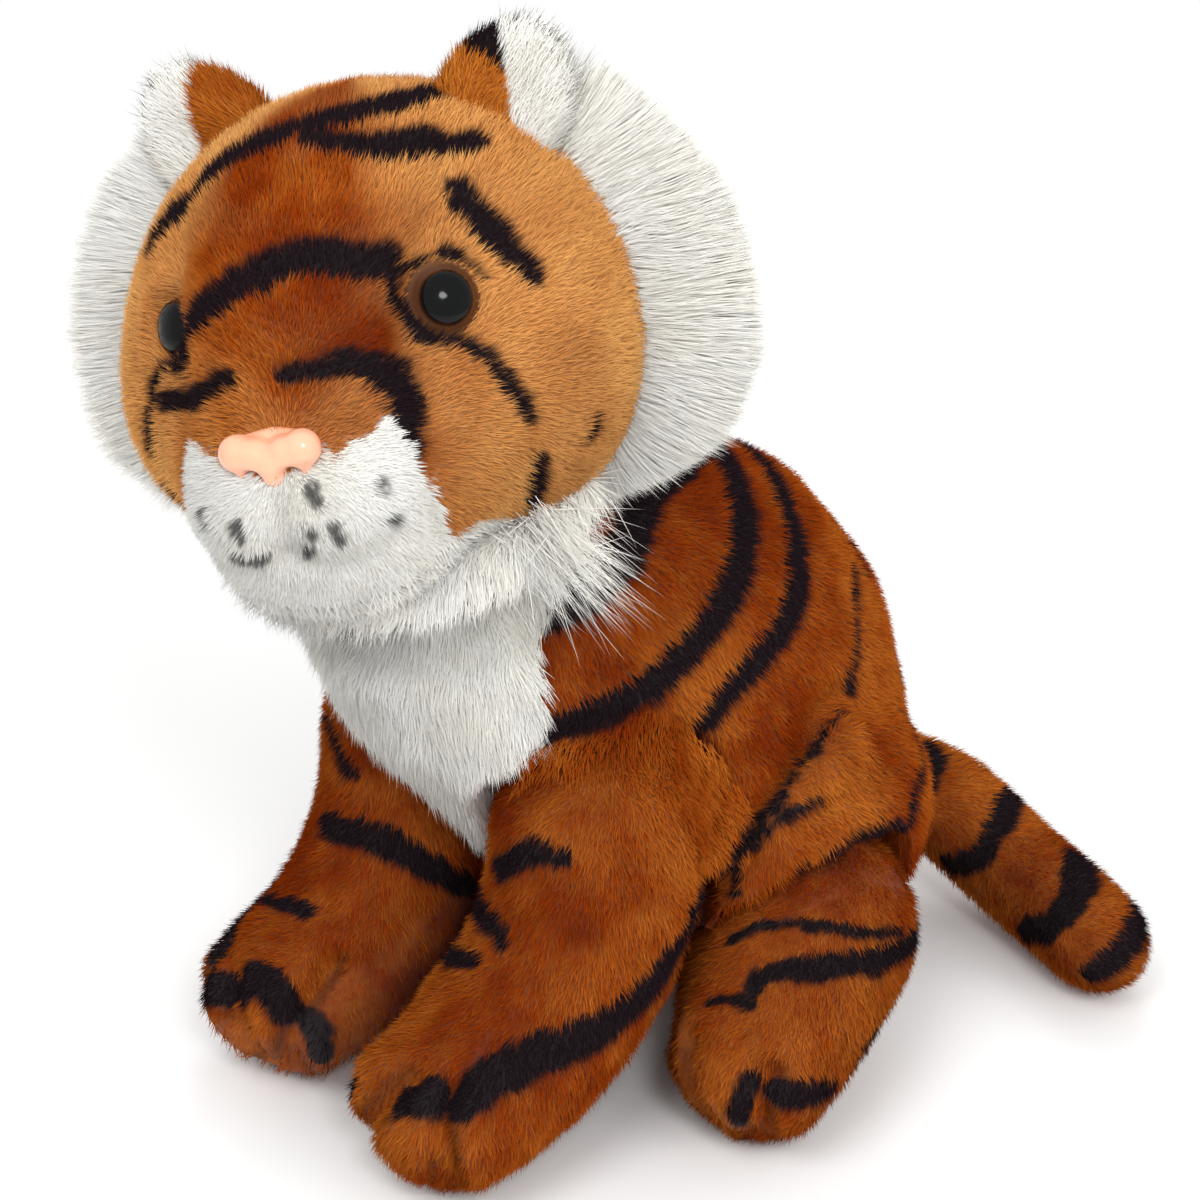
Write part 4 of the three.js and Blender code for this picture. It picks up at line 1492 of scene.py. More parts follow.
@dataclass
class Limb:
    """A stuffed leg or tail: one skin with one pile."""

    name: str
    body: str
    bands: tuple
    comb: Field
    wrap: Field
    mirrored: bool = False
    cell: float = 2.8 * MM
    passes: int = 10
    inset: float = 1.8 * MM
    pile: Pile = Pile(2.8, 0.33, 2.2, lean=48)
    toes: tuple = ()
    groove_radius: float = 4 * MM
    groove_depth: float = 5 * MM
    valley_radius: float = 2.4 * MM
    glow: float = 0.12
    seed: int = 7

    def build(self) -> None:
        """Makes the skin, its dents and its pile."""
        skin = stuffed((f"{self.name}_casing", f"{self.name}_filling"), self.cell, self.passes,
                       self.inset)
        grooves = [traced(line) for line in self.toes]
        for line in grooves:
            skin.press(line, self.groove_radius, self.groove_depth)
        surface = skin.tree()
        valley = [surface.find_nearest(place)[0] for line in grooves for place in line]
        valley = NearLine(np.array(valley)) if valley else None
        printed = Print([band.rows(self.mirrored) for band in self.bands], skin)

        def depth(places: Points) -> Points:
            """From 1 in the middle of a groove to 0 away from it."""
            if valley is None:
                return np.zeros(len(places))
            return np.exp(-(valley.measure(places)[0] / self.valley_radius) ** 2)

        def trim(places: Points) -> Points:
            """Shorter pile in the grooves."""
            return 1 - 0.5 * depth(places)

        def tint(places: Points) -> Points:
            """Brown with bands, with a painted shade in the grooves.

            Args:
                places: rows in metres.

            Returns:
                Colours in rows.
            """
            brown = rust_tint(places, 47 + self.seed, self.glow)
            # Painted shade in the grooves between the toes.
            brown = brown * (1 - 0.5 * depth(places))[:, None]
            return banded(brown, printed.share(places, self.seed))

        # The backing is painted darker than the pile: painted shade under the fibres.
        backed(f"{self.name}_skin", skin, 0.7 * tint(skin.places), self.body,
               (f"{self.name}_filling",))
        fur = Fur(skin, self.comb, tint, self.wrap, self.seed, trim, TRUNK)
        fur.cover(((f"{self.name}_pile", self.pile, f"{self.name}_casing", "rust_plush",
                    everywhere),), self.body)


@dataclass(frozen=True)
class Swelling:
    """A soft hump on the head: where it is and how far it spreads, in degrees."""

    turn: float
    lift: float
    spread: float
    tall: float
    reach: float
    edge: float


@dataclass
class Head:
    """The head in its own frame: face towards -Y, turned and tilted on the neck."""

    centre: tuple = (0, -105, 213)
    turn: float = 29
    tilt: float = 12
    lift: float = 10
    halves: tuple = (61, 57, 58)
    inset: float = 1.8
    eye_turn: float = 36
    eye_lift: float = 11
    eye_sinks: tuple = (1.4, 3.1)
    nose_lift: float = -11
    nose_sink: float = 2.3
    jaw_lift: float = -37
    swellings: tuple = (
        Swelling(0, -31, 30, 20, 26, 3), Swelling(0, 6, 24, 27, 14, 2.4),
        Swelling(0, 42, 40, 25, 2.5, 2),
        Swelling(58, -20, 28, 26, 6, 2), Swelling(-58, -20, 28, 26, 6, 2),
        Swelling(36, 11, 12, 13, -5, 2), Swelling(-36, 11, 12, 13, -5, 2),
    )
    seam: tuple = ((25, -33), (26, -20), (26, -8), (24.5, 0), (26, 10), (33, 24), (44, 38),
                   (58, 52))
    seam_groove: tuple = (3.6, 2.6)
    cleft: tuple = ((0, -17), (0, -21), (0, -25))
    cleft_groove: tuple = (3, 1.8)
    lip: tuple = ((0, -25), (5, -28), (12, -28.5), (19, -27))
    lip_groove: tuple = (3.4, 1.6)
    lid_rises: tuple = (1.0, 2.8)
    lid_radius: float = 10.8
    lid_width: float = 3.0
    patch_side: tuple = ((-40, 31), (-36, 28.4), (-28, 26.6), (-21, 24.6), (-15.5, 23.2),
                         (-11.5, 21.6), (-10, 20.5))
    patch_top: tuple = ((0, -13.5), (8, -12.4), (19, -9.6), (22, -10.5), (30, -12))
    jaw_edge: tuple = ((0, -34), (28.5, -36.8), (42, -42), (58, -46.5), (75, -50), (100, -56),
                       (140, -62))
    gusset_edge: tuple = ((-33, 25), (-8, 26), (0, 24.5), (10, 26), (24, 33), (38, 44), (52, 58),
                          (70, 75))
    crown: float = 6
    # Turns over which the cheeks turn golden: partly dyed cloth, partly a painted highlight.
    gold_turns: tuple = (10, 48, 95, 120)
    snout_lifts: tuple = (-8, 4)
    snout_turns: tuple = (20, 34)
    pile: Pile = Pile(2.5, 0.3, 3.0, lean=46, clump=0.32, clump_size=4)
    back_pile: Pile = Pile(2.7, 0.33, 2.2, lean=46, clump=0.32, clump_size=4)
    muzzle_pile: Pile = white_fibres(2.1, 0.34, 4.2, 0.87, 0.94, lean=60, spread=0.2,
                                     clump_size=4.5, bend=0.2, stray=0.1, jitter=0.1)
    chin_pile: Pile = white_fibres(6.0, 0.35, 2.8, 0.96, lean=24, clump_size=6, jitter=0.1)
    bands: tuple = (
        (((-54.7, 29.6), (-43.2, 41.6), (-28.9, 51.7), (-0.6, 58.4), (36, 64.3), (75, 66)),
         (3.4, 4.2, 4.4, 4.4, 3.8), False),
        (((4, 54), (14, 51.5), (24, 49.5), (31, 48.7), (44, 48.5), (58.2, 47.3)),
         (2.2, 3.4, 4.0, 4.0, 3.4), False),
        (((-29, 3), (-27.8, 6.3), (-18.8, 12.2), (-9.8, 15.6), (0.2, 19.5), (9.1, 21.7),
          (18.3, 20.5), (26.8, 19.5)), (1.5, 2.8, 3.8, 4.2, 4.2, 3.6), False),
        (((26, 17), (26, 12), (29, 6), (34, 2)), (2.6, 2.2, 1.6), False),
        # This thin arc over the near eye is a painted shadow under the upper lid, not a printed
        # band.
        (((27, 14), (31, 19), (36, 20.5), (41, 19), (45.5, 14)), (0.4, 0.6, 0.4), False),
        (((45.8, 35), (47.6, 29.2), (51.2, 21.5), (56.5, 11.5)), (3.1, 3.5, 3.3, 2.2), False),
        (((33, 3), (38, 0.5), (42.2, -3.2), (45.5, -9.6), (48.2, -15.6)), (1.1, 1.4, 1.7, 1.3),
         True),
        (((3.2, 1), (13.7, 1.5), (20.2, -1.3), (24.6, -1.9)), (1.8, 2.6, 3.2, 3.8), False),
        (((24.6, -1.9), (24.8, -6.7), (24.6, -10.2), (25.6, -14.5)), (4.0, 4.4, 3.9, 2.4), False),
        (((-38.3, -4.8), (-23.2, -3.4), (-15.3, -1.3), (-8, 1.2)), (1.9, 2.5, 2.5, 1.6), False),
        (((51.3, -25.3), (52.3, -32.7), (54.5, -40.5)), (1.5, 1.9, 1.3), True),
        (((66.8, -20), (64.9, -25)), (0.8, 0.8), True),
        (((132, 60), (155, 67), (180, 69), (205, 67), (228, 60)), (1.4, 2.6, 3, 2.6, 1.4), False),
        (((120, 34), (150, 42), (180, 44), (210, 42), (240, 34)), (1.4, 2.8, 3.4, 2.8, 1.4), False),
        (((128, 8), (155, 15), (180, 17), (205, 15), (232, 8)), (1.4, 2.6, 3.2, 2.6, 1.4), False),
    )
    dots: tuple = ((-15, -18.6), (-6.9, -19.8), (6.8, -15.7), (17.7, -17.3), (18.9, -23.7),
                   (9.1, -21.7))
    dot_half: float = 1.0
    mouth: tuple = (((5.6, -22), (4.2, -24), (1.6, -26)),
                    ((-10.4, -26.3), (-7, -26.8), (-3.4, -26)))
    mouth_half: float = 0.7

    def __post_init__(self) -> None:
        """Works out where the head stands."""
        turned = (Matrix.Rotation(math.radians(self.turn), 4, "Z")
                  @ Matrix.Rotation(math.radians(-self.lift), 4, "X")
                  @ Matrix.Rotation(math.radians(-self.tilt), 4, "Y"))
        self.frame = Matrix.Translation(Vector(self.centre) * MM) @ turned
        self.turned = np.array(turned)[:3, :3]

    def local(self, places: Points) -> Points:
        """Row-frame places in the head's own frame, in millimetres."""
        return (places / MM - np.array(self.centre)) @ self.turned

    def world(self, places: Points) -> Points:
        """The head's own places, in millimetres, in the row frame in metres."""
        return (places @ self.turned.T + np.array(self.centre)) * MM

    @staticmethod
    def direction(turn: Points, lift: Points) -> Points:
        """Directions in rows from turns and lifts in degrees."""
        t, v = np.radians(turn), np.radians(lift)
        return np.stack([np.cos(v) * np.sin(t), -np.cos(v) * np.cos(t), np.sin(v)], axis=-1)

    @staticmethod
    def angles(local: Points) -> tuple[Points, Points]:
        """Turn and lift in degrees of places in the head's frame."""
        length = np.linalg.norm(local, axis=1)
        return (np.degrees(np.arctan2(local[:, 0], -local[:, 1])),
                np.degrees(np.arcsin(np.clip(local[:, 2] / length, -1, 1))))

    def reach(self, ways: Points, inset: float) -> Points:
        """Distance from the centre to the surface for each direction.

        Args:
            ways: directions of length one in the head's frame.
            inset: how far below the CAD surface, in millimetres.

        Returns:
            Lengths in millimetres.
        """
        radius = 1 / np.linalg.norm(ways / (np.array(self.halves) - inset), axis=1)
        turn, lift = self.angles(ways)
        for hump in self.swellings:
            aside = np.abs((turn - hump.turn) / hump.spread) ** hump.edge
            above = np.abs((lift - hump.lift) / hump.tall) ** hump.edge
            radius = radius + hump.reach * np.exp(-aside - above)
        return radius

    def on_surface(self, line: Sequence[tuple], inset: float = 0.0) -> Points:
        """Places in the row frame for a line of turns and lifts.

        Args:
            line: pairs of a turn and a lift in degrees.
            inset: how far below the CAD surface, in millimetres.

        Returns:
            The places in metres.
        """
        pairs = np.array(line, float)
        ways = self.direction(pairs[:, 0], pairs[:, 1])
        return self.world(ways * self.reach(ways, inset)[:, None])

    def seat(self, turn: float, lift: float, sink: float) -> Matrix:
        """A frame on the surface whose Z points out of the head and Y up.

        Args:
            turn: how far to the side, in degrees.
            lift: how far up, in degrees.
            sink: how far below the surface, in millimetres.

        Returns:
            The frame.
        """
        way = self.direction(np.array([turn]), np.array([lift]))[0]
        place = way * (self.reach(way[None], 0)[0] - sink) * MM
        out = Vector(way)
        side = Vector((0, 0, 1)).cross(out).normalized()
        up = out.cross(side)
        columns = Matrix((side, up, out)).transposed().to_4x4()
        return self.frame @ Matrix.Translation(Vector(place)) @ columns

    def skin(self) -> Skin:
        """The head's skin: a fine ball moved out to the head's reach, with its dents.

        Returns:
            The skin.
        """
        skin = ball(6)
        ways = unit(skin.places)
        skin.places = self.world(ways * self.reach(ways, self.inset)[:, None])
        skin.refresh()
        for mirror in (1, -1):
            seam = [(mirror * turn, lift) for turn, lift in self.seam]
            self.groove(skin, seam, *self.seam_groove)
        for mirror, rise in zip((1, -1), self.lid_rises):
            eye = self.on_surface([(mirror * self.eye_turn, self.eye_lift)], self.inset)[0]
            away = np.linalg.norm(skin.places - eye, axis=1) / MM
            lid = rise * MM * np.exp(-((away - self.lid_radius) / self.lid_width) ** 2)
            skin.places += skin.outward * lid[:, None]
            skin.refresh()
        self.groove(skin, self.cleft, *self.cleft_groove)
        for mirror in (1, -1):
            lip = [(mirror * turn, lift) for turn, lift in self.lip]
            self.groove(skin, lip, *self.lip_groove)
        return skin

    def groove(self, skin: Skin, line: Sequence[tuple], radius: float, depth: float) -> None:
        """Presses a groove along a line of turns and lifts, with its sizes in millimetres."""
        line = curve_points(self.on_surface(line, self.inset), MM)
        skin.press(line, radius * MM, depth * MM)

    def white(self, places: Points) -> Points:
        """True on the muzzle patch and below the jaw.

        Args:
            places: rows in metres.

        Returns:
            One truth for each place.
        """
        turn, lift = self.angles(self.local(places))
        side = np.abs(turn)
        wave = mottle(places, 2.4 * MM, 71)
        half = read_off(self.patch_side, lift)
        top, low = read_off(self.patch_top, side), read_off(self.jaw_edge, side)
        return ((lift < top + 0.8 * wave) & (side < half + 1.2 * wave)) | (lift < low + wave)

    def prints(self, skin: Skin) -> tuple[Print, Print]:
        """The dark bands, with the painted shadow over the near eye, and the whisker dots with the
        mouth.

        Args:
            skin: the head's skin.

        Returns:
            Both prints.
        """
        rows = []
        for line, widths, both in self.bands:
            for mirror in ((1, -1) if both else (1,)):
                places = self.on_surface([(mirror * turn, lift) for turn, lift in line])
                half = spread_out(widths, len(line)) * MM
                rows.append(curve_points(np.column_stack([places, half]), PRINT_STEP))
        marks = []
        for turn, lift in self.dots:
            places = self.on_surface([(turn, lift), (turn + 0.5, lift - 1.3)])
            marks.append(np.column_stack([places, [self.dot_half * MM] * 2]))
        for stroke in self.mouth:
            places = self.on_surface(stroke)
            half = [self.mouth_half * MM] * len(stroke)
            marks.append(curve_points(np.column_stack([places, half]), PRINT_STEP))
        return Print(rows, skin), Print(marks, skin)

    def build(self) -> None:
        """Makes the skin, the piles of its panels, the eyes, nose and washers."""
        skin = self.skin()
        bands, marks = self.prints(skin)

        def tint(places: Points) -> Points:
            """Golden brown with bands, or white with dark marks; the arc over the near eye is a
            painted shadow, and the cheeks' gold is partly a painted highlight.

            Args:
                places: rows in metres.

            Returns:
                Colours in rows.
            """
            turn, lift = self.angles(self.local(places))
            side = np.abs(turn)
            # The golden cheeks are partly dyed cloth and partly a painted highlight.
            start, full, fading, end = self.gold_turns
            glow = 0.76 * ramp(side, start, full) * (1 - ramp(side, fading, end))
            snout = 0.3 * (1 - ramp(lift, *self.snout_lifts)) * (1 - ramp(side, *self.snout_turns))
            glow = np.maximum(glow, snout)
            golden = np.clip(glow + 0.22 * mottle(places, 9 * MM, 91), 0, 1)
            brown = blend_rows(rust_tint(places, 53, 0.14), Hue.AMBER.row, golden)
            brown = banded(brown, bands.share(places, 15))
            pale = blend_rows(white_tint(places, 57), Hue.DOT.row, 0.88 * marks.share(places, 19))
            return blend_rows(brown, pale, self.white(places).astype(float))

        # The backing is painted darker than the pile: painted shade under the fibres.
        ground = tint(skin.places) * painted_backing_shade(self.white(skin.places))
        backed("head_skin", skin, ground, "head", ("head_filling",))
        nose = self.world(np.array([[0, -74, -12.0]]))[0]
        fur = Fur(skin, towards(nose / MM), tint, around(self.centre, self.turned[:, 2]), 13)

        def gusset(places: Points) -> Points:
            """True between the two seams of the forehead.

            Args:
                places: rows in metres.

            Returns:
                One truth for each place.
            """
            turn, lift = self.angles(self.local(places))
            return (np.abs(turn) < read_off(self.gusset_edge, lift)) & ~self.white(places)

        def behind(places: Points) -> Points:
            """True behind the crown seam."""
            return self.local(places)[:, 1] > self.crown

        def cheek(side: int) -> Field:
            """True on one cheek."""
            return lambda p: (~gusset(p) & ~behind(p) & ~self.white(p)
                              & (self.local(p)[:, 0] * side > 0))

        def muzzle(places: Points) -> Points:
            """True on the muzzle, above the edge of the jaw."""
            return self.angles(self.local(places))[1] > self.jaw_lift

        panels = (
            ("gusset_pile", self.pile, "forehead_gusset", "rust_plush",
             lambda p: gusset(p) & ~behind(p)),
            ("cheek_pile_left", self.pile, "cheek_left", "cheek_plush", cheek(1)),
            ("cheek_pile_right", self.pile, "cheek_right", "cheek_plush", cheek(-1)),
            ("head_back_pile", self.back_pile, "head_back", "rust_plush",
             lambda p: behind(p) & ~self.white(p)),
            ("muzzle_pile", self.muzzle_pile, "muzzle_patch", "white_plush",
             lambda p: self.white(p) & muzzle(p)),
            ("chin_pile", self.chin_pile, "", "white_plush",
             lambda p: self.white(p) & ~muzzle(p)),
        )
        fur.cover(panels, "head")
        for side, mirror, sink in zip(("left", "right"), (1, -1), self.eye_sinks):
            Eye(side, self.seat(mirror * self.eye_turn, self.eye_lift, sink)).build()
        Nose(self.seat(0, self.nose_lift, self.nose_sink)).build()
        nylon = NYLON.material()
        for node in ("eye_washer_left", "eye_washer_right", "nose_washer"):
            refinished(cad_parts[node], nylon)


@dataclass
class Eye:
    """A safety eye: a brown dome with a raised black pupil.

    The colour changes over two distances from the stem at its rim and round the pupil, and a
    painted shadow darkens it over two heights at its foot.
    """

    side: str
    seat: Matrix
    outline: tuple = ((0.0, -2.2), (7.6, -2.2), (8.5, -1.4), (8.8, 0.0), (8.5, 1.1), (7.7, 2.4),
                      (6.9, 3.3), (6.2, 3.9), (5.9, 4.6), (5.2, 5.5), (4.0, 6.25), (2.4, 6.75),
                      (1.0, 6.95), (0.0, 7.0))
    sides: int = 56
    rim: tuple = (7.0, 8.3)
    pupil: tuple = (5.75, 6.15)
    foot_shadow: tuple = (-0.6, 0.2)

    def build(self) -> None:
        """Spins the outline of the dome and pupil about the stem."""
        body = bmesh.new()
        verts = [body.verts.new((x * MM, 0, z * MM)) for x, z in self.outline]
        edges = [body.edges.new(pair) for pair in zip(verts, verts[1:])]
        bmesh.ops.spin(body, geom=verts + edges, cent=(0, 0, 0), axis=(0, 0, 1), dvec=(0, 0, 0),
                       angle=2 * math.pi, steps=self.sides, use_merge=True)
        bmesh.ops.remove_doubles(body, verts=body.verts, dist=0.00001)
        bmesh.ops.subdivide_edges(body, edges=body.edges, cuts=1, smooth=1.0)
        bmesh.ops.recalc_face_normals(body, faces=body.faces)
        away = np.array([vert.co.xy.length / MM for vert in body.verts])
        height = np.array([vert.co.z / MM for vert in body.verts])
        body.transform(self.seat)
        mesh = poured(f"eye_{self.side}_dome", body)
        smooth_shaded(mesh)
        colour = blend_rows(Hue.IRIS.row, Hue.IRIS_RIM.row, ramp(away, *self.rim))
        colour = blend_rows(colour, Hue.PUPIL.row, 1 - ramp(away, *self.pupil))
        # Painted shadow round the foot of the dome, where the fur meets it.
        colour = blend_rows(colour, Hue.PUPIL.row, 0.8 * (1 - ramp(height, *self.foot_shadow)))
        paint(mesh, colour)
        mesh.materials.append(EYE_GLOSS.material())
        shown(put(f"eye_{self.side}_dome", mesh), "head", (f"eye_{self.side}",))
        LOG.info("eye_%s_dome", self.side)


@dataclass
class Nose:
    """The moulded nose: a bar with two lobes, a pad below and a nostril under each lobe.

    A nostril has its place to the side and below, two half sizes and a depth. The dip between
    the lobes has its place above, two half sizes and a depth.
    """

    seat: Matrix
    cell: float = 0.45 * MM
    melting: int = 14
    rounding: int = 3
    nostril: tuple = (4.7, 3.7, 1.9, 1.5, 3.4)
    dip: tuple = (4, 2.2, 2.4, 0.8)
    back: float = -1
    ovals: tuple = ((-7.5, 1.2, 1.8, 4.3, 4.3, 4.4), (7.5, 1.2, 1.8, 4.3, 4.3, 4.4),
                    (-3.8, 0.6, 2.1, 4.6, 3.9, 4.1), (3.8, 0.6, 2.1, 4.6, 3.9, 4.1),
                    (0, -1.0, 2.2, 4.2, 4.2, 4.3), (0, -4.2, 1.8, 2.8, 3.0, 3.7),
                    (-5.0, -2.6, 1.2, 4.0, 3.2, 3.7), (5.0, -2.6, 1.2, 4.0, 3.2, 3.7),
                    (0, 0.6, -1.6, 10.2, 4.4, 3.0))

    def build(self) -> None:
        """Joins rounded forms, melts them together and presses the nostrils in."""
        body = bmesh.new()
        for x, y, z, a, b, c in self.ovals:
            place = (Matrix.Translation(Vector((x, y, z)) * MM)
                     @ Matrix.Diagonal((a * MM, b * MM, c * MM, 1)))
            bmesh.ops.create_uvsphere(body, u_segments=32, v_segments=20, radius=1.0, matrix=place)
        rough = remeshed(poured("nose_rough", body), self.cell)
        body = bmesh.new()
        body.from_mesh(rough)
        evened(body, self.melting)
        aside, below, wide, tall, deep = self.nostril
        above, dip_wide, dip_tall, dip_deep = self.dip
        for vert in body.verts:
            x, y, z = vert.co / MM
            for side in (-1, 1):
                gap = ((x - side * aside) / wide) ** 2 + ((y + below) / tall) ** 2
                vert.co.z -= deep * MM * math.exp(-gap ** 1.4) * (z > self.back)
            dent = math.exp(-(x / dip_wide) ** 2 - ((y - above) / dip_tall) ** 2)
            vert.co.z -= dip_deep * MM * dent
        evened(body, self.rounding)
        body.transform(self.seat)
        mesh = poured("nose_moulding", body)
        smooth_shaded(mesh)
        mesh.materials.append(NOSE_PLASTIC.material())
        shown(put("nose_moulding", mesh), "head", ("nose",))
        LOG.info("nose_moulding: %d faces", len(mesh.polygons))


@dataclass
class Ear:
    """A folded ear: brown towards the forehead with a dark tip, white outside."""

    side: str
    head: Head
    turn: float = 37
    reach: float = 58
    halves: tuple = (17, 9.5, 22)
    inset: float = 2.0
    hollow: float = 4.5
    hollow_place: tuple = (3, 2)
    hollow_halves: tuple = (9, 14)
    tip: float = 1.0
    tip_band: tuple = (66.5, 68, 74.5, 76)
    pile: Pile = Pile(3.2, 0.32, 2.8, lean=40, clump=0.3)
    lining: Pile = white_fibres(5.0, 0.33, 2.8, lean=30, flat=0.5, jitter=0.1)

    def skin(self, sign: int) -> Skin:
        """The lobe's skin: an oval with a shallow hollow in front.

        Args:
            sign: 1 on the left and -1 on the right.

        Returns:
            The skin in the row frame.
        """
        skin = ball(5)
        oval = skin.places * (np.array(self.halves) - self.inset)
        aside, above = self.hollow_place
        wide, tall = self.hollow_halves
        hollow = np.exp(-((oval[:, 0] - aside * sign) / wide) ** 2
                        - ((oval[:, 2] - above) / tall) ** 2)
        oval[:, 1] += np.where(oval[:, 1] < 0, self.hollow * hollow, 0)
        turn = math.radians(self.turn) * sign
        turned = np.array([[math.cos(turn), 0, math.sin(turn)], [0, 1, 0],
                           [-math.sin(turn), 0, math.cos(turn)]])
        skin.places = self.head.world((oval + np.array([0, 0, self.reach])) @ turned.T)
        skin.refresh()
        return skin

    def build(self) -> None:
        """Makes the lobe's skin and its two piles."""
        sign = 1 if self.side == "left" else -1
        back, lining = f"ear_back_{self.side}", f"ear_lining_{self.side}"
        skin = self.skin(sign)
        middle = skin.places.mean(axis=0)

        def inner(places: Points) -> Points:
            """True on the side towards the forehead.

            Args:
                places: rows in metres.

            Returns:
                One truth for each place.
            """
            local = self.head.local(places)
            centre = self.head.local(middle[None])[0]
            return (local[:, 0] - centre[0]) * sign * 0.9 + (local[:, 1] - centre[1]) * 0.5 < 1.0

        def tint(places: Points) -> Points:
            """Brown with a dark tip, or white.

            Args:
                places: rows in metres.

            Returns:
                Colours in rows.
            """
            local = self.head.local(places)
            far = np.linalg.norm(local, axis=1) + 1.2 * mottle(places, 3 * MM, 77)
            low, full, fading, end = self.tip_band
            brown = banded(rust_tint(places, 59, 0.5),
                           self.tip * ramp(far, low, full) * (1 - ramp(far, fading, end)))
            return blend_rows(white_tint(places, 63), brown, inner(places).astype(float))

        name = f"ear_{self.side}"
        # The backing is painted darker than the pile: painted shade under the fibres.
        backed(f"{name}_skin", skin, 0.8 * tint(skin.places), name)
        fur = Fur(skin, towards(self.head.centre), tint,
                  around(middle / MM, middle - np.array(self.head.centre) * MM), 17)
        fur.cover(((f"{name}_back_pile", self.pile, back, "rust_plush", inner),
                   (f"{name}_lining_pile", self.lining, lining, "white_plush",
                    lambda p: ~inner(p))), name)


@dataclass
class Ruff:
    """Long combed white pile round one side of the face."""

    side: str
    head: Head
    radius: float = 67
    back: float = 11
    wide: float = 15.5
    thick: float = 6.5
    rim: float = 20.5
    fade: float = 12.0
    shares: tuple = ((46, 0.93, 0.72, 0.75), (22, 0.98, 0.95, 0.95), (-2, 1, 1.04, 1.05),
                     (-22, 0.98, 0.95, 1), (-36, 0.92, 0.56, 0.8), (-47, 0.87, 0.3, 0.55))
    pile: Pile = white_fibres(13.0, 0.38, 3.0, 0.97, lean=16, spread=0.12, stray=0.06, clump=0.22,
                              clump_size=9, bend=0.08, softness=0.92, flat=0.82, jitter=0.07)

    def build(self) -> None:
        """Makes the ruff's skin and pile."""
        node = f"ruff_{self.side}"
        sign = 1 if self.side == "left" else -1
        stations = []
        for angle, radius, wide, thick in self.shares:
            turn = math.radians(angle)
            stations.append((sign * self.radius * radius * math.cos(turn), self.back,
                             self.radius * radius * math.sin(turn), self.wide * wide,
                             self.thick * thick))
        skin = lofted(stations, 9.0, (1, 0, 0))
        skin.places = self.head.world(skin.places)
        skin.refresh()

        def outward(places: Points) -> Points:
            """Away from the middle of the face, and a little back.

            Args:
                places: rows in metres.

            Returns:
                Directions in rows.
            """
            local = self.head.local(places)
            way = np.column_stack([local[:, 0], np.full(len(local), 10.0), local[:, 2]])
            return unit(way) @ self.head.turned.T

        def trim(places: Points) -> Points:
            """Shorter fibres near the rim, so that their tips end on one soft line.

            Args:
                places: rows in metres.

            Returns:
                A share of the full length for each place.
            """
            local = self.head.local(places)
            turn = np.degrees(np.arctan2(local[:, 2], local[:, 0] * sign))
            angles, radii, wides, _ = np.array(self.shares[::-1]).T
            middle = self.radius * np.interp(turn, angles, radii)
            ragged = 1.2 * mottle(places, 7 * MM, 67) + 1.8 * mottle(places, 14 * MM, 71)
            rim = middle + self.rim * np.interp(turn, angles, wides) + ragged
            left = rim - np.hypot(local[:, 0], local[:, 2])
            behind = ramp(local[:, 1], self.back, self.back + 3)
            return np.clip(left / self.fade, 0.3, 1) * (1 - 0.45 * behind)

        # The backing is painted darker than the pile: painted shade under the fibres.
        backed(f"{node}_skin", skin, 0.9 * white_tint(skin.places, 83), "head")
        middle = skin.places.mean(axis=0) / MM
        fur = Fur(skin, outward, lambda p: white_tint(p, 83),
                  around(middle, self.head.turned[:, 2]), 19, trim)
        fur.cover(((f"{node}_pile", self.pile, node, "white_pile", everywhere),), "head")


@dataclass
class Beard:
    """White pile under the jaw, with the loose strands at its near corner."""

    head: Head
    spread: float = 45
    forward: float = 36
    drop: float = 52
    thick: float = 6.0
    shares: tuple = ((-1, 0.1, 0.76, 0.7), (-0.58, 0.72, 0.98, 1), (0, 1, 1.04, 1.1),
                     (0.58, 0.72, 0.98, 1), (1, 0.1, 0.76, 0.7))
    pile: Pile = white_fibres(7.0, 0.35, 3.0, 0.96, lean=26, clump_size=7, softness=0.85,
                              jitter=0.1)
    strands: Pile = white_fibres(21.0, 0.26, 1.0, 1.0, lean=12, stray=0.26, clump_size=7,
                                 bend=0.12, joints=4, softness=0.8, speckle=0.05)
    corner: tuple = (53, -108, 181)
    fan: tuple = (0.66, 0.56, -0.12)
    count: int = 420
    root_spread: float = 4.0
    fan_spread: tuple = (0.2, 0.2, 0.36)
    fan_lift: float = 0.8

    def build(self) -> None:
        """Makes the beard's skin and pile, and the fan of strands."""
        stations = [(self.spread * aside, -self.forward * ahead, -self.drop * down,
                     self.thick * swell, self.thick * swell)
                    for aside, ahead, down, swell in self.shares]
        skin = lofted(stations, 7.0, (0, 0, 1))
        skin.places = self.head.world(skin.places)
        skin.refresh()
        # The backing is painted darker than the pile: painted shade under the fibres.
        backed("beard_skin", skin, 0.9 * white_tint(skin.places, 87), "head")
        middle = skin.places.mean(axis=0) / MM
        fur = Fur(skin, along((0.1, -0.25, -1)), lambda p: white_tint(p, 87),
                  around(middle, (1, 0.4, 0)), 29)
        fur.cover((("beard_pile", self.pile, "chin_beard", "white_pile", everywhere),), "head")
        self.fan_out()

    def fan_out(self) -> None:
        """A fan of long loose strands at the near end of the beard."""
        rng = np.random.default_rng(102)
        way = np.array(self.fan)
        scatter = rng.normal(size=(self.count, 3)) * self.root_spread * MM
        roots = np.array([self.corner]) * MM + scatter
        out = np.tile(unit(np.array([way + np.array([0, 0, self.fan_lift])])), (self.count, 1))
        spread = rng.normal(size=(self.count, 3)) * np.array(self.fan_spread)

        def comb(places: Points) -> Points:
            """The fan's direction with its spread."""
            return way + spread

        fur = Fur(Skin(np.zeros((3, 3)), np.array([[0, 1, 2]])), comb,
                  lambda p: white_tint(p, 97), around(self.corner, (0, 0, 1)), 31)
        pile = fur.fibres("beard_strands", self.strands, roots, out, rng, finish("white_pile"))
        shown(pile, "head")


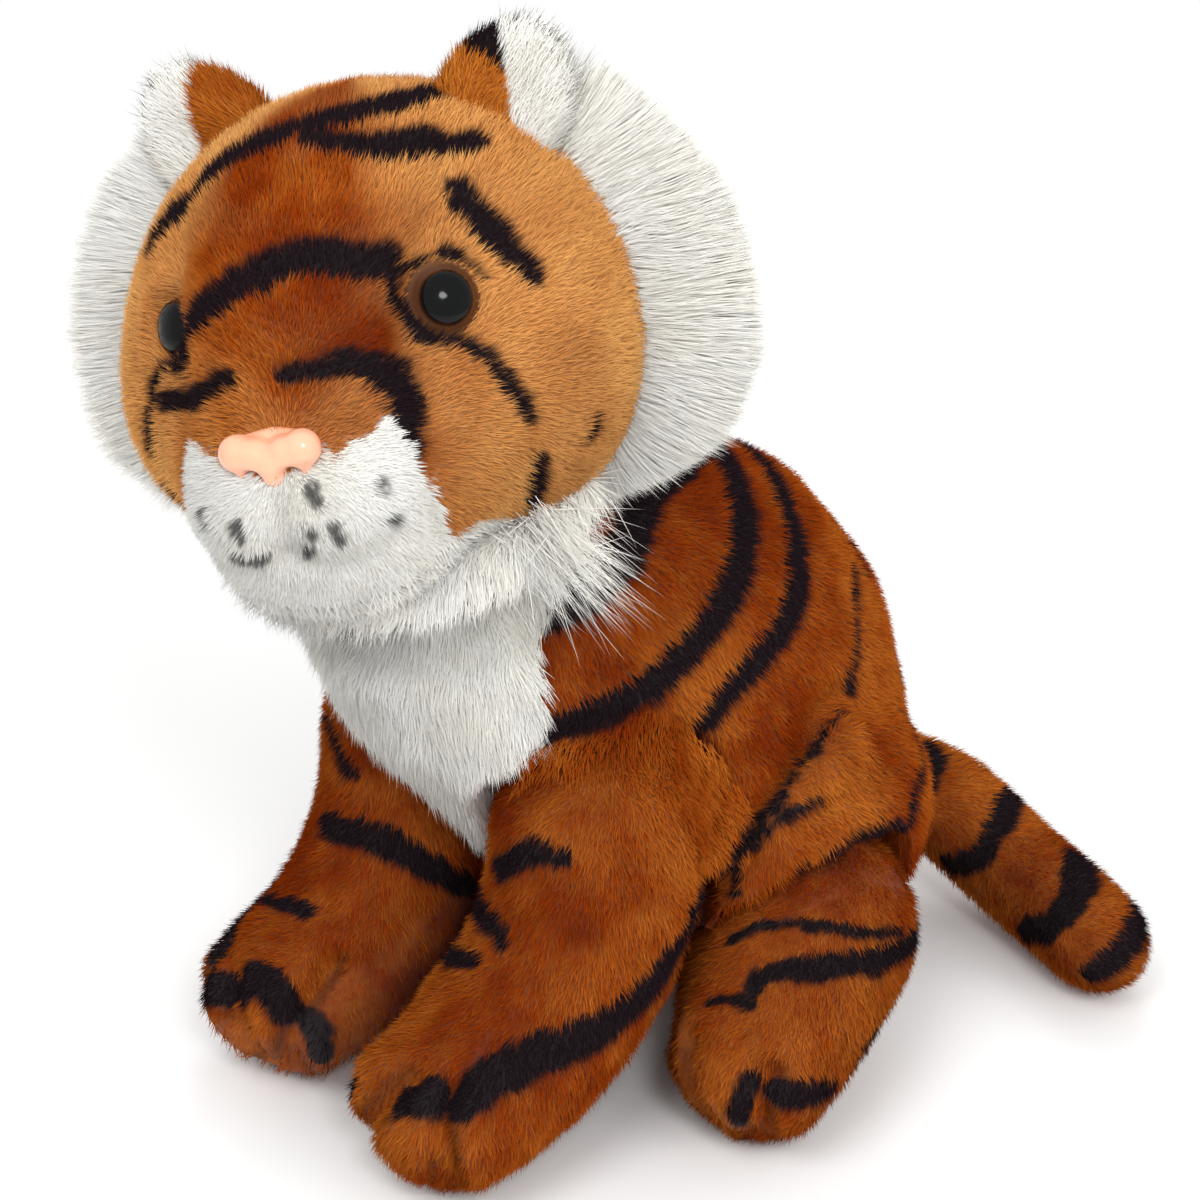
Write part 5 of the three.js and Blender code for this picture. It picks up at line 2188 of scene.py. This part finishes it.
@dataclass
class Neck:
    """The neck under the chin, white in front and brown behind."""

    cell: float = 2.6 * MM
    passes: int = 6
    inset: float = 2.4 * MM
    edge: tuple = (-84 * MM, -78 * MM)
    pile: Pile = white_fibres(4.0, 0.36, 1.8, jitter=0.11)

    def build(self) -> None:
        """Makes the neck's skin and its white pile."""
        skin = stuffed(("neck_filling",), self.cell, self.passes, self.inset)

        def front(places: Points) -> Points:
            """From 1 under the chin to 0 behind."""
            return 1 - ramp(places[:, 1] + 0.5 * np.abs(places[:, 0]), *self.edge)

        def tint(places: Points) -> Points:
            """White in front, brown behind."""
            return blend_rows(rust_tint(places, 37, 0.1), white_tint(places, 39), front(places))

        # The backing is painted darker than the pile: painted shade under the fibres.
        backed("neck_skin", skin, 0.9 * tint(skin.places), "neck",
               ("neck_filling",))
        middle = skin.places.mean(axis=0) / MM
        fur = Fur(skin, along((0, -0.3, -1)), tint, around(middle, (0, 0, 1)), 35,
                  covered_by=("bib_panel", "body_side_left", "body_side_right", "body_filling",
                              "head_filling"))
        fur.cover((("neck_pile", self.pile, "", "white_plush", lambda p: front(p) > 0.5),), "neck")


@dataclass
class Studio:
    """Camera, floor, world and lamps."""

    target: tuple = (19.5, -56.4, 133)
    turn: float = 47
    lift: float = 26
    distance: float = 760
    lens: float = 91.2
    floor_half: float = 0.9
    floor_fade: tuple = (0.35, 0.85)
    lamps: tuple = (
        ("key", (0.25, -1.0, 1.25), 0.9, 8.3, False),
        ("fill", (1.2, -0.1, 0.7), 0.9, 4.4, False),
        ("back", (-0.7, 0.8, 1.2), 0.8, 5.0, False),
        ("glint", (0.98, -0.62, 1.0), 0.36, 5.6, True),
    )

    def build(self) -> None:
        """Sets the scene round the object."""
        scene = bpy.context.scene
        scene.view_settings.view_transform = "Standard"
        turn, lift = math.radians(self.turn), math.radians(self.lift)
        back = Vector((math.sin(turn) * math.cos(lift), -math.cos(turn) * math.cos(lift),
                       math.sin(lift)))
        data = bpy.data.cameras.new("camera")
        data.lens, data.sensor_width, data.sensor_fit = self.lens, 36, "HORIZONTAL"
        data.clip_start, data.clip_end = 0.05, 20
        camera = bpy.data.objects.new("camera", data)
        scene.collection.objects.link(camera)
        camera.location = (Vector(self.target) + back * self.distance) * MM
        camera.rotation_euler = back.to_track_quat("Z", "Y").to_euler()
        scene.camera = camera
        self.floor()
        self.world()
        for name, place, size, power, mirrored in self.lamps:
            self.lamp(name, place, size, power, mirrored)

    def floor(self) -> None:
        """A pale floor that fades out into the white surroundings."""
        body = bmesh.new()
        bmesh.ops.create_grid(body, x_segments=90, y_segments=90, size=self.floor_half)
        mesh = poured("floor", body)
        places = Skin.of(mesh).places
        shown_share = 1 - ramp(np.hypot(places[:, 0], places[:, 1]), *self.floor_fade)
        paint(mesh, np.tile(shown_share[:, None], 3))
        shade = Shade("pale_floor")
        tone = shade.mix(shade.noise(2.0), Hue.FLOOR.rgba, (0.93, 0.93, 0.93, 1))
        mesh.materials.append(shade.surface(Base_Color=tone, Roughness=0.9,
                                            Alpha=shade.attribute("tint")))
        floor = put("floor", mesh)
        mesh.transform(Matrix.Translation((0, 0, -0.6 * MM)))

    def world(self) -> None:
        """Soft even light, and white where the camera or a reflection looks past the object."""
        shade = Shade("studio", world=True)
        path = shade.node("ShaderNodeLightPath")
        seen, through = (Signal(shade, path.outputs[kind])
                         for kind in ("Is Camera Ray", "Is Transmission Ray"))
        light, white = (shade.signal("ShaderNodeBackground", 0, Color=(1, 1, 1, 1), Strength=power)
                        for power in (0.75, 1.0))
        mix = shade.signal("ShaderNodeMixShader", 0, at_0=seen.either(through), at_1=light,
                           at_2=white)
        bpy.context.scene.world = shade.end(mix)

    @staticmethod
    def lamp(name: str, place: tuple, size: float, power: float, mirrored: bool = False) -> None:
        """A round soft lamp that looks at the object.

        Args:
            name: the lamp's name.
            place: where it stands, in metres.
            size: how wide it is.
            power: how bright it is.
            mirrored: whether glossy surfaces reflect it.
        """
        data = bpy.data.lights.new(name, "AREA")
        data.shape, data.size, data.energy = "DISK", size, power
        lamp = bpy.data.objects.new(name, data)
        bpy.context.scene.collection.objects.link(lamp)
        lamp.visible_glossy = mirrored
        lamp.location = place
        aim = Vector(place) - Vector((0, -0.05, 0.13))
        lamp.rotation_euler = aim.to_track_quat("Z", "Y").to_euler()


def mirrored_lines(lines: Sequence[Sequence[tuple]], side: int) -> tuple:
    """The left side's lines in millimetres, turned over for the right side."""
    return tuple(tuple((side * x, y, z) for x, y, z in line) for line in lines)


def main() -> None:
    """Builds the studio and every part of the tiger."""
    Studio().build()
    head = Head()
    parts = [Torso(), Neck(), head]
    for side in ("left", "right"):
        parts += [Ear(side, head, tip=float(side == "left")), Ruff(side, head)]
    parts.append(Beard(head))
    for side, sign in (("left", 1), ("right", -1)):
        name = f"front_leg_{side}"
        bands = FRONT_LEG_BANDS if sign > 0 else FAR_PAW_BANDS
        parts.append(Limb(name, name, bands, towards((sign * 37, -66, 128)),
                          around((sign * 38, -100, 60), (0, -0.62, -0.78)),
                          toes=mirrored_lines(FRONT_TOES, sign), seed=5 + sign))
        parts.append(Shoulder(side, sign, bands))
        name = f"hind_leg_{side}"
        parts.append(Limb(name, name, HIND_LEG_BANDS, towards((sign * 50, 10, 70)),
                          around((sign * 72, -30, 30), (sign * 0.4, -0.85, -0.2)),
                          mirrored=sign < 0, toes=mirrored_lines(HIND_TOES, sign), seed=9 + sign))
    parts.append(Limb("tail", "tail", TAIL_BANDS, towards((4, 46, 42)),
                      around((55, 62, 28), (0.97, 0.1, -0.25)), glow=0.25, seed=21))
    for part in parts:
        part.build()
        LOG.info("built %s", type(part).__name__)
    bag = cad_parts["pellet_bag"]
    refinished(bag, SACKING.material())


if __name__ == "__main__":
    main()
